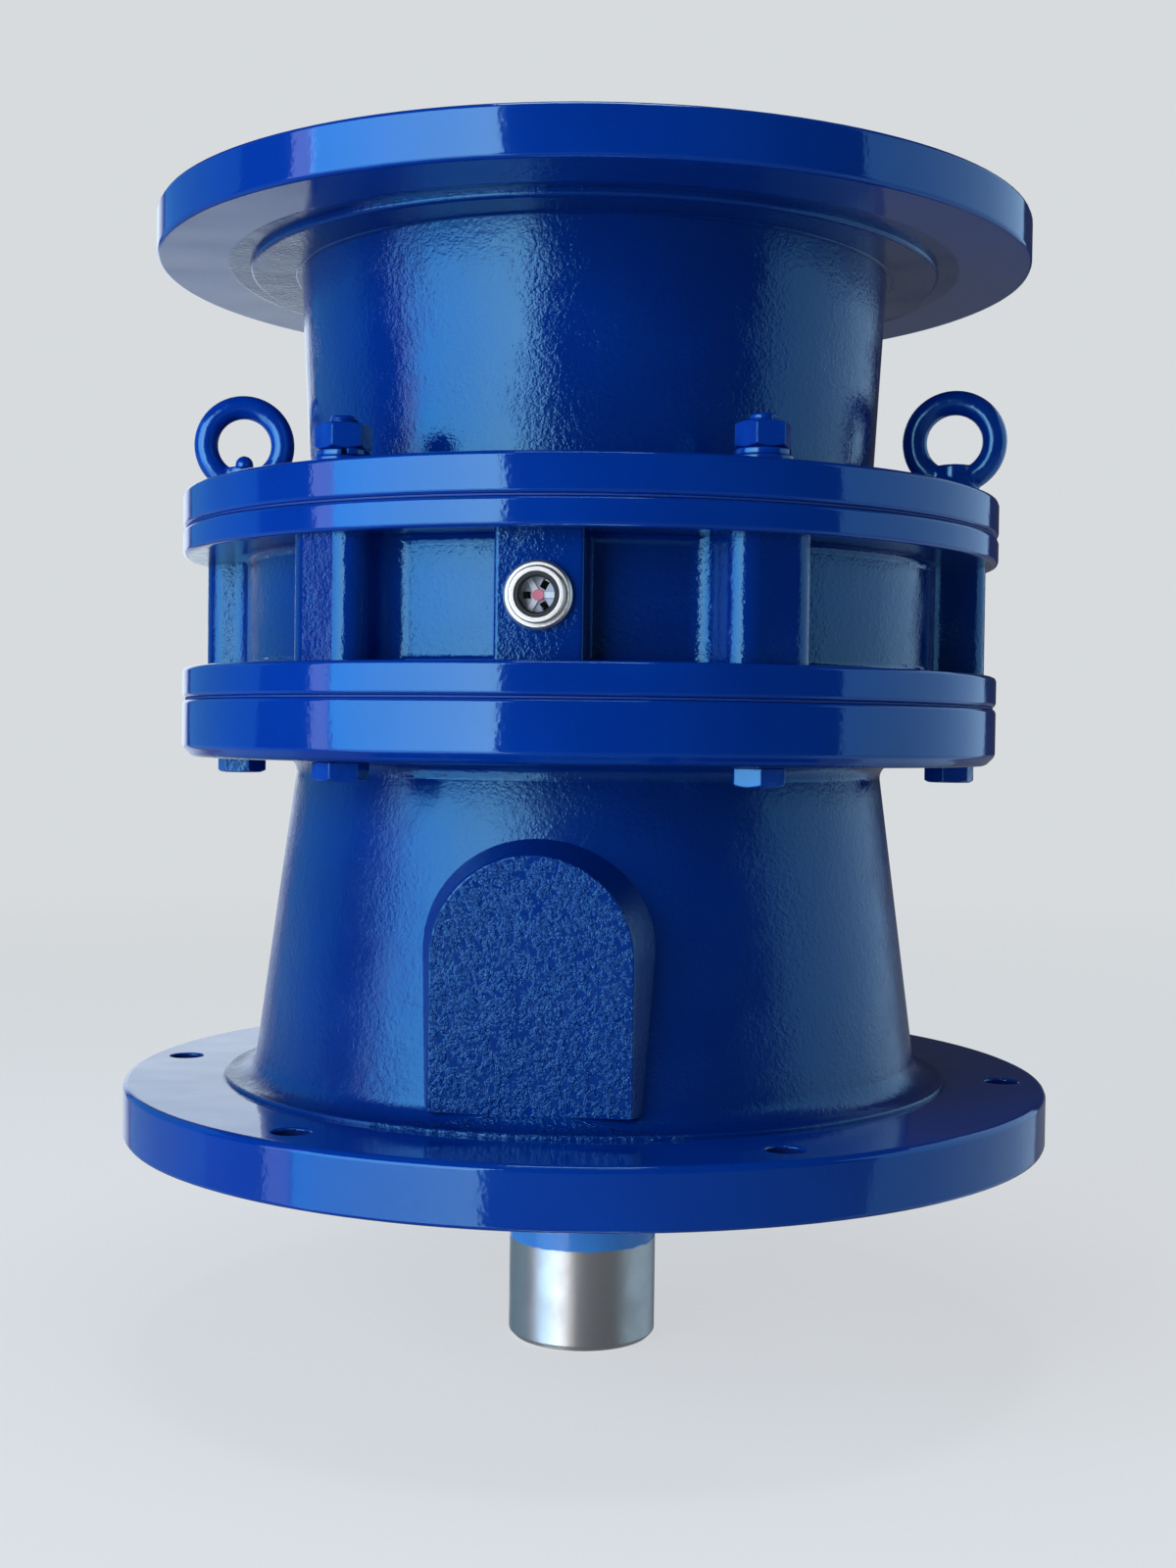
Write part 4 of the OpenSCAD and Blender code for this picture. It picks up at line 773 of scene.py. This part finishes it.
ring("input_cover_screws_socket", turned(socket_screw(2.98, 5, screw_low, screw_high - 6, screw_high)),
     6, input_screw_circle, "housing", "black_oxide", black_oxide, "input_cover_screws")

# ---- Housing bolts --------------------------------------------------------------------------
# Six M10 bolts clamp the three castings: forged heads under the output housing's flange, rolled
# threads at the top. The two at the sides are longer and carry the lifting rings.

# The thread's ridge: a four-sided bar wound round the bolt's core, half sunk in it
rolled_thread, given, end = new_tree(
    "rolled_thread", Core="Float", Pitch="Float", Turns="Float", Start="Float", Depth="Float")
rise = add_node(rolled_thread, "ShaderNodeMath", {"operation": "MULTIPLY"}, {
    0: given["Pitch"], 1: given["Turns"]})
helix = add_node(rolled_thread, "GeometryNodeCurveSpiral", inputs={
    "Resolution": 24, "Rotations": given["Turns"], "Start Radius": given["Core"],
    "End Radius": given["Core"], "Height": rise})
upright = add_node(rolled_thread, "GeometryNodeSetCurveNormal", inputs={0: helix})
upright.mode = "Z_UP"
ridge = add_node(rolled_thread, "GeometryNodeCurvePrimitiveCircle", inputs={
    "Resolution": 4, "Radius": given["Depth"]})
swept = add_node(rolled_thread, "GeometryNodeCurveToMesh", inputs={
    "Curve": upright, "Profile Curve": ridge, "Fill Caps": True})
start = add_node(rolled_thread, "ShaderNodeCombineXYZ", inputs={2: given["Start"]})
raised = add_node(rolled_thread, "GeometryNodeTransform", inputs={0: swept, "Translation": start})
whole = add_node(rolled_thread, "GeometryNodeJoinGeometry")
for part in (given["Geometry"], raised.outputs[0]):
    rolled_thread.links.new(part, whole.inputs[0])
end(whole)

bolt_circle, across_flats = 268, 16
flange_low = heights_mm("output_housing")[1] - 20.5
thread_start = 236.0


def bolt(tip):
    """The mesh of one M10 bolt whose end stands at height tip, its thread on the last stretch."""
    head_low, shank, core, pitch = flange_low - 6.4, 5, 4.35, 1.5
    blank = turned([(0, head_low), (7.4, head_low), hexagon(across_flats, head_low, -1),
                    hexagon(across_flats, flange_low - 0.4), (7.6, flange_low), (shank, flange_low),
                    (shank, thread_start - 1), (core, thread_start), (core, tip - 0.7), (3.7, tip),
                    (0, tip)])
    threaded = run_tree("bolt", rolled_thread, {
        "Core": 0.00438, "Pitch": pitch / 1000, "Turns": (tip - thread_start - 1.6) / pitch,
        "Start": (thread_start + 0.6) / 1000, "Depth": 0.0006, "Finish": smooth_enamel}, blank)
    mesh = threaded.data
    bpy.data.objects.remove(threaded)
    return mesh


def painted_ring(name, one, count, stands_for, **angles):
    """A ring of one fastener on the bolt circle, painted over."""
    ring(name, one, count, bolt_circle, "housing", "blue_enamel", smooth_enamel, stands_for, **angles)


nut_low, nut_top = heights_mm("housing_nuts")
foot_top = 246.5
painted_ring("housing_bolts_short", bolt(nut_top + 2.5), 6, "housing_bolts", turn=12, step=17, skip=3)
painted_ring("housing_bolts_long", bolt(foot_top), 2, "housing_bolts", turn=12, step=51)
ball, ball_centre = 3.4, foot_top + 1.1
pilot = [(0, foot_top - 2), (ball, foot_top - 2), (ball, ball_centre)] + [
    (ball * math.cos(math.radians(a)), ball_centre + ball * math.sin(math.radians(a)))
    for a in (20, 40, 60, 80)] + [(0, ball_centre + ball)]
painted_ring("left_bolt_pilot", turned(pilot, 32), 1, "housing_bolts", first=180)

# ---- Nuts and washers -----------------------------------------------------------------------
# A flat washer, a split spring washer and a hexagon nut on each of the four plain bolts, painted
# over with the casting.
nut_bore, bore_mouth, washer_face = 5.03, 5.8, 7.4
nut = [(nut_bore, nut_low + 0.8), (bore_mouth, nut_low), (washer_face, nut_low),
       hexagon(across_flats, nut_low, -1), hexagon(across_flats, nut_top, 1),
       (washer_face, nut_top), (bore_mouth, nut_top), (nut_bore, nut_top - 0.8)]
painted_ring("housing_nuts_hexagon", turned(nut, 48, True), 6, "housing_nuts", turn=20, skip=3)
flat_washer = turned(sleeve(10, 5.25, *heights_mm("flat_washers"), 0.35), 40, True)
painted_ring("flat_washers_punched", flat_washer, 6, "flat_washers", skip=3)

# The spring washer is a bar coiled for just under one turn
coiled_washer, given, end = new_tree("coiled_washer", Middle="Float", Wide="Float", Thick="Float",
                                     Spring="Float", Level="Float")
coil = add_node(coiled_washer, "GeometryNodeCurveSpiral", inputs={
    "Resolution": 48, "Rotations": 0.97, "Start Radius": given["Middle"], "End Radius": given["Middle"],
    "Height": given["Spring"]})
upright = add_node(coiled_washer, "GeometryNodeSetCurveNormal", inputs={0: coil})
upright.mode = "Z_UP"
bar = add_node(coiled_washer, "GeometryNodeCurvePrimitiveQuadrilateral", inputs={
    "Width": given["Wide"], "Height": given["Thick"]})
rounded = add_node(coiled_washer, "GeometryNodeFilletCurve", inputs={"Curve": bar, "Radius": 0.0003})
bent = add_node(coiled_washer, "GeometryNodeCurveToMesh", inputs={
    "Curve": upright, "Profile Curve": rounded, "Fill Caps": True})
level = add_node(coiled_washer, "ShaderNodeCombineXYZ", inputs={2: given["Level"]})
seated = add_node(coiled_washer, "GeometryNodeTransform", inputs={0: bent, "Translation": level})
end(seated)
spring_low = heights_mm("spring_washers")[0]
one = run_tree("spring_washer", coiled_washer, {
    "Middle": 0.00712, "Wide": 0.0037, "Thick": 0.0021, "Spring": 0.00035,
    "Level": (spring_low + 1.08) / 1000, "Finish": smooth_enamel}, bpy.data.meshes.new("bar"))
spring_washer = one.data
bpy.data.objects.remove(one)
painted_ring("spring_washers_coiled", spring_washer, 6, "spring_washers", turn=40, skip=3)

# ---- Lifting rings --------------------------------------------------------------------------
# Two drop-forged eye nuts: a round bar forged to a ring on a turned foot. Forging leaves every
# corner round, so the CAD shape is melted a little where ring and foot meet.
for side in ("left", "right"):
    eye = merged_copy("eye_nut_" + side)
    grain = eye.modifiers.new("forged", "REMESH")
    grain.mode, grain.voxel_size = "VOXEL", 0.0006
    melt = eye.modifiers.new("melted corners", "SMOOTH")
    melt.factor, melt.iterations = 0.5, 8
    keep_result(eye)
    eye.data.materials.append(smooth_enamel)
    eye.data.shade_smooth()
    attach(eye, "housing")
    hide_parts("eye_nut_" + side)

# ---- Sight glass ----------------------------------------------------------------------------
# A screwed-in oil sight glass: a turned, nickel-plated ring, a rubber seal, a round pane, and a
# reflector with three slots and three white arms round a red dot that shows the oil level.

# Bright nickel plate on a turned ring: warm silver, with turning lines and thumbed, duller patches.
nickel, tree, place = new_material("turned_nickel_plate")
sight_glass_height = 0.1885
centre = add_node(tree, "ShaderNodeMapping", inputs={
    "Vector": place, "Location": (0.0, 0.0, -sight_glass_height)})
lines = turning_lines(tree, centre, 0.4, 2.0, axis=1)
thumbed = add_node(tree, "ShaderNodeTexNoise", inputs={
    "Vector": place, "Scale": per_mm(4), "Detail": 3.0})
finish_surface(tree, (thumbed, "F3F1EA", "E0DDD3"), (thumbed, 0.30, 0.42), (lines, 0.4, 0.00003), {
    "Metallic": 1.0})
soften("sight_glass_body", 0.2, nickel)
paint_cad(rubber, "sight_glass_seal")

# Soda-lime glass: clear, faintly blue, smeared with oil inside. Lamps shine through it.
glass, tree, place = new_material("clear_sight_glass")
smear = add_node(tree, "ShaderNodeTexNoise", inputs={"Vector": place, "Scale": per_mm(5), "Detail": 3.0})
tint = add_node(tree, "ShaderNodeMix", {"data_type": "RGBA"}, {
    "Factor_Float": smear, "A_Color": linear("FCFEFF"), "B_Color": linear("F0F6F8")})
haze = add_node(tree, "ShaderNodeMapRange", inputs={
    "Value": smear, "From Min": 0.4, "From Max": 0.8, "To Min": 0.0, "To Max": 0.06})
pane = add_node(tree, "ShaderNodeBsdfPrincipled", inputs={
    "Base Color": tint, "Roughness": haze, "IOR": 1.5, "Transmission Weight": 1.0})
clear = add_node(tree, "ShaderNodeBsdfTransparent", inputs={0: linear("FAFCFF")})
ray = add_node(tree, "ShaderNodeLightPath")
shines = add_node(tree, "ShaderNodeMath", {"operation": "MAXIMUM"}, {
    0: ray.outputs["Is Shadow Ray"], 1: ray.outputs["Is Diffuse Ray"]})
finish_material(tree, add_node(tree, "ShaderNodeMixShader", inputs={
    0: shines, 1: pane, 2: clear}))
paint_cad(glass, "sight_glass_window")

# Moulded acetal reflector: a grey disc, white arms proud of it, dusty oil in patches.
acetal, tree, place = new_material("moulded_reflector_plastic")
xyz = add_node(tree, "ShaderNodeSeparateXYZ", inputs={0: place})
disc_face, arm_face = -0.13915, -0.13935
proud = add_node(tree, "ShaderNodeMapRange", inputs={
    "Value": xyz.outputs[1], "From Min": disc_face, "From Max": arm_face})
dusty = add_node(tree, "ShaderNodeTexNoise", inputs={
    "Vector": place, "Scale": per_mm(2.5), "Detail": 4.0})
colours = (proud, (dusty, "D4D4DC", "B8B9C2"), (dusty, "FCFCFA", "F0EFEA"))
finish_surface(tree, colours, (dusty, 0.30, 0.5), (dusty, 0.2, 0.00005), {"IOR": 1.48})
paint_cad(acetal, "sight_glass_reflector")

# The red level dot: glossy moulded plastic, bleached unevenly to a soft red.
red, tree, place = new_material("moulded_red_plastic")
mottle = add_node(tree, "ShaderNodeTexNoise", inputs={
    "Vector": place, "Scale": per_mm(1.2), "Detail": 2.0})
finish_surface(tree, (mottle, "F88C9A", "EA6E7E"), (mottle, 0.22, 0.38), (mottle, 0.3, 0.00005), {
    "IOR": 1.48})
paint_cad(red, "sight_glass_dot")

# ---- Oil plugs ------------------------------------------------------------------------------
# Two turned steel plugs with hexagon heads, black oxide: the vented filler in the rear boss of the
# ring gear housing, and the drain low on the output housing's back.
soften("filler_plug", 0.3, black_oxide)
soften("drain_plug", 0.3, black_oxide)

# ---- Stage ----------------------------------------------------------------------------------
# A pale, polished floor under the shaft's end, soft boxes for a wide window, its curtain and the sky
# on the left, a bright wall on the right and a ceiling lamp, and a camera at the front.
camera_data = bpy.data.cameras.new("camera")
camera_data.lens = 45.09
camera = bpy.data.objects.new("camera", camera_data)
bpy.context.collection.objects.link(camera)
turn, distance, height, pitch, roll = math.radians(6.5), 0.740, 0.1462, 0.0253, 0.0124
camera.location = (distance * math.sin(turn), -distance * math.cos(turn), height)
camera.rotation_euler = (Matrix.Rotation(turn, 3, "Z") @ Matrix.Rotation(math.pi / 2 - pitch, 3, "X")
                         @ Matrix.Rotation(roll, 3, "Z")).to_euler()
bpy.context.scene.camera = camera

aim_height = 0.17


def soft_box(name, azimuth, elevation, away, width, tall, brightness, colour, fading_to=None):
    """A rectangular lamp that faces the middle of the object; azimuth 0 is the front, 90 the right.
    Its colour may fade to another toward the left."""
    lamp = bpy.data.lights.new(name, "AREA")
    lamp.shape = "RECTANGLE"
    lamp.size, lamp.size_y, lamp.energy = width, tall, brightness * math.pi * width * tall
    lamp.use_nodes = True
    spot = add_node(lamp.node_tree, "ShaderNodeNewGeometry").outputs["Parametric"]
    over = add_node(lamp.node_tree, "ShaderNodeSeparateXYZ", inputs={0: spot})
    hue = add_node(lamp.node_tree, "ShaderNodeMix", {"data_type": "RGBA"}, {
        "Factor_Float": over.outputs[0], "A_Color": linear(fading_to or colour), "B_Color": linear(colour)})
    lamp.node_tree.links.new(hue.outputs["Result"], lamp.node_tree.nodes["Emission"].inputs[0])
    holder = bpy.data.objects.new(name, lamp)
    a, e = math.radians(azimuth), math.radians(elevation)
    way = Vector((math.sin(a) * math.cos(e), -math.cos(a) * math.cos(e), math.sin(e)))
    holder.location = Vector((0, 0, aim_height)) + way * away
    holder.rotation_euler = way.to_track_quat("Z", "Y").to_euler()
    holder.visible_camera = False
    bpy.context.collection.objects.link(holder)


soft_box("window_left", -39, 9, 1.6, 1.40, 1.35, 5.7, "FFFBFF", "78CCFF")
soft_box("curtain_left", -66, 9, 1.6, 0.19, 1.35, 3.0, "E8CCF0")
soft_box("sky_left", -112, 9, 1.6, 1.3, 1.35, 0.5, "61CBFF")
soft_box("wall_right", 110, 12, 1.8, 2.6, 1.8, 1.12, "B2DCFF")
soft_box("ceiling", 0, 84, 1.5, 0.6, 0.6, 6.0, "FFFFFF")

floor_mesh = bpy.data.meshes.new("floor")
floor_level, half_side = cad_box[0][2], 6
floor_mesh.from_pydata([(x * half_side, y * half_side, floor_level) for x, y in (
    (-1, -1), (1, -1), (1, 1), (-1, 1))], [], [(0, 1, 2, 3)])
floor = bpy.data.objects.new("floor", floor_mesh)
bpy.context.collection.objects.link(floor)
# Pale resin floor: matt to the eye, but polished enough to mirror the windows in the rims above it.
pale, tree, place = new_material("polished_pale_floor")
ray = add_node(tree, "ShaderNodeLightPath")
matt = add_node(tree, "ShaderNodeBsdfDiffuse", inputs={"Color": linear("888A8C")})
polished = add_node(tree, "ShaderNodeBsdfPrincipled", inputs={
    "Base Color": linear("989CA0"), "Roughness": 0.10, "IOR": 6.5})
glow = add_node(tree, "ShaderNodeEmission", inputs={"Color": linear("D8DADB"), "Strength": 0.84})
lit = add_node(tree, "ShaderNodeAddShader", inputs={0: matt, 1: glow})
haze = add_node(tree, "ShaderNodeEmission", inputs={"Color": linear("D7DBDE"), "Strength": 1.0})
reach = add_node(tree, "ShaderNodeVectorMath", {"operation": "LENGTH"}, {0: place})
far = add_node(tree, "ShaderNodeMapRange", {"interpolation_type": "SMOOTHSTEP"}, {
    "Value": reach, "From Min": 0.45, "From Max": 2.2})
faded = add_node(tree, "ShaderNodeMixShader", inputs={0: far, 1: lit, 2: haze})
# Painted light: for every ray but the camera's the floor also glows faintly, lighting the object and
# showing as highlight lines on the rims' lower edges
painted_floor_glow = add_node(tree, "ShaderNodeEmission", inputs={"Color": linear("D8DADB"), "Strength": 0.14})
mirror_and_glow = add_node(tree, "ShaderNodeAddShader", inputs={0: polished, 1: painted_floor_glow})
either = add_node(tree, "ShaderNodeMixShader", inputs={
    0: ray.outputs["Is Camera Ray"], 1: mirror_and_glow, 2: faded})
finish_material(tree, either)
floor_mesh.materials.append(pale)

world = bpy.data.worlds.new("studio")
bpy.context.scene.world = world
world.use_nodes = True
tree = world.node_tree
tree.nodes.clear()
ray = add_node(tree, "ShaderNodeLightPath")
way = add_node(tree, "ShaderNodeTexCoord").outputs["Generated"]
# A window in the wall behind, on the left, lights the far ends of the rims
window_behind = (-0.39, 0.913, 0.12)
toward_wall = add_node(tree, "ShaderNodeVectorMath", {"operation": "DOT_PRODUCT"}, {
    0: way, 1: window_behind})
wall = add_node(tree, "ShaderNodeMapRange", {"interpolation_type": "SMOOTHSTEP"}, {
    "Value": toward_wall, "From Min": 0.955, "From Max": 0.99, "To Min": 0.06, "To Max": 1.8})
room = add_node(tree, "ShaderNodeBackground", inputs={0: linear("C8D4E0"), 1: wall})
white = add_node(tree, "ShaderNodeBackground", inputs={0: linear("D7DBDE"), 1: 1.0})
seen = add_node(tree, "ShaderNodeMixShader", inputs={0: ray.outputs["Is Camera Ray"], 1: room, 2: white})
tree.links.new(seen.outputs[0], tree.nodes.new("ShaderNodeOutputWorld").inputs[0])
bpy.context.scene.view_settings.view_transform = "Standard"

bpy.context.view_layer.update()
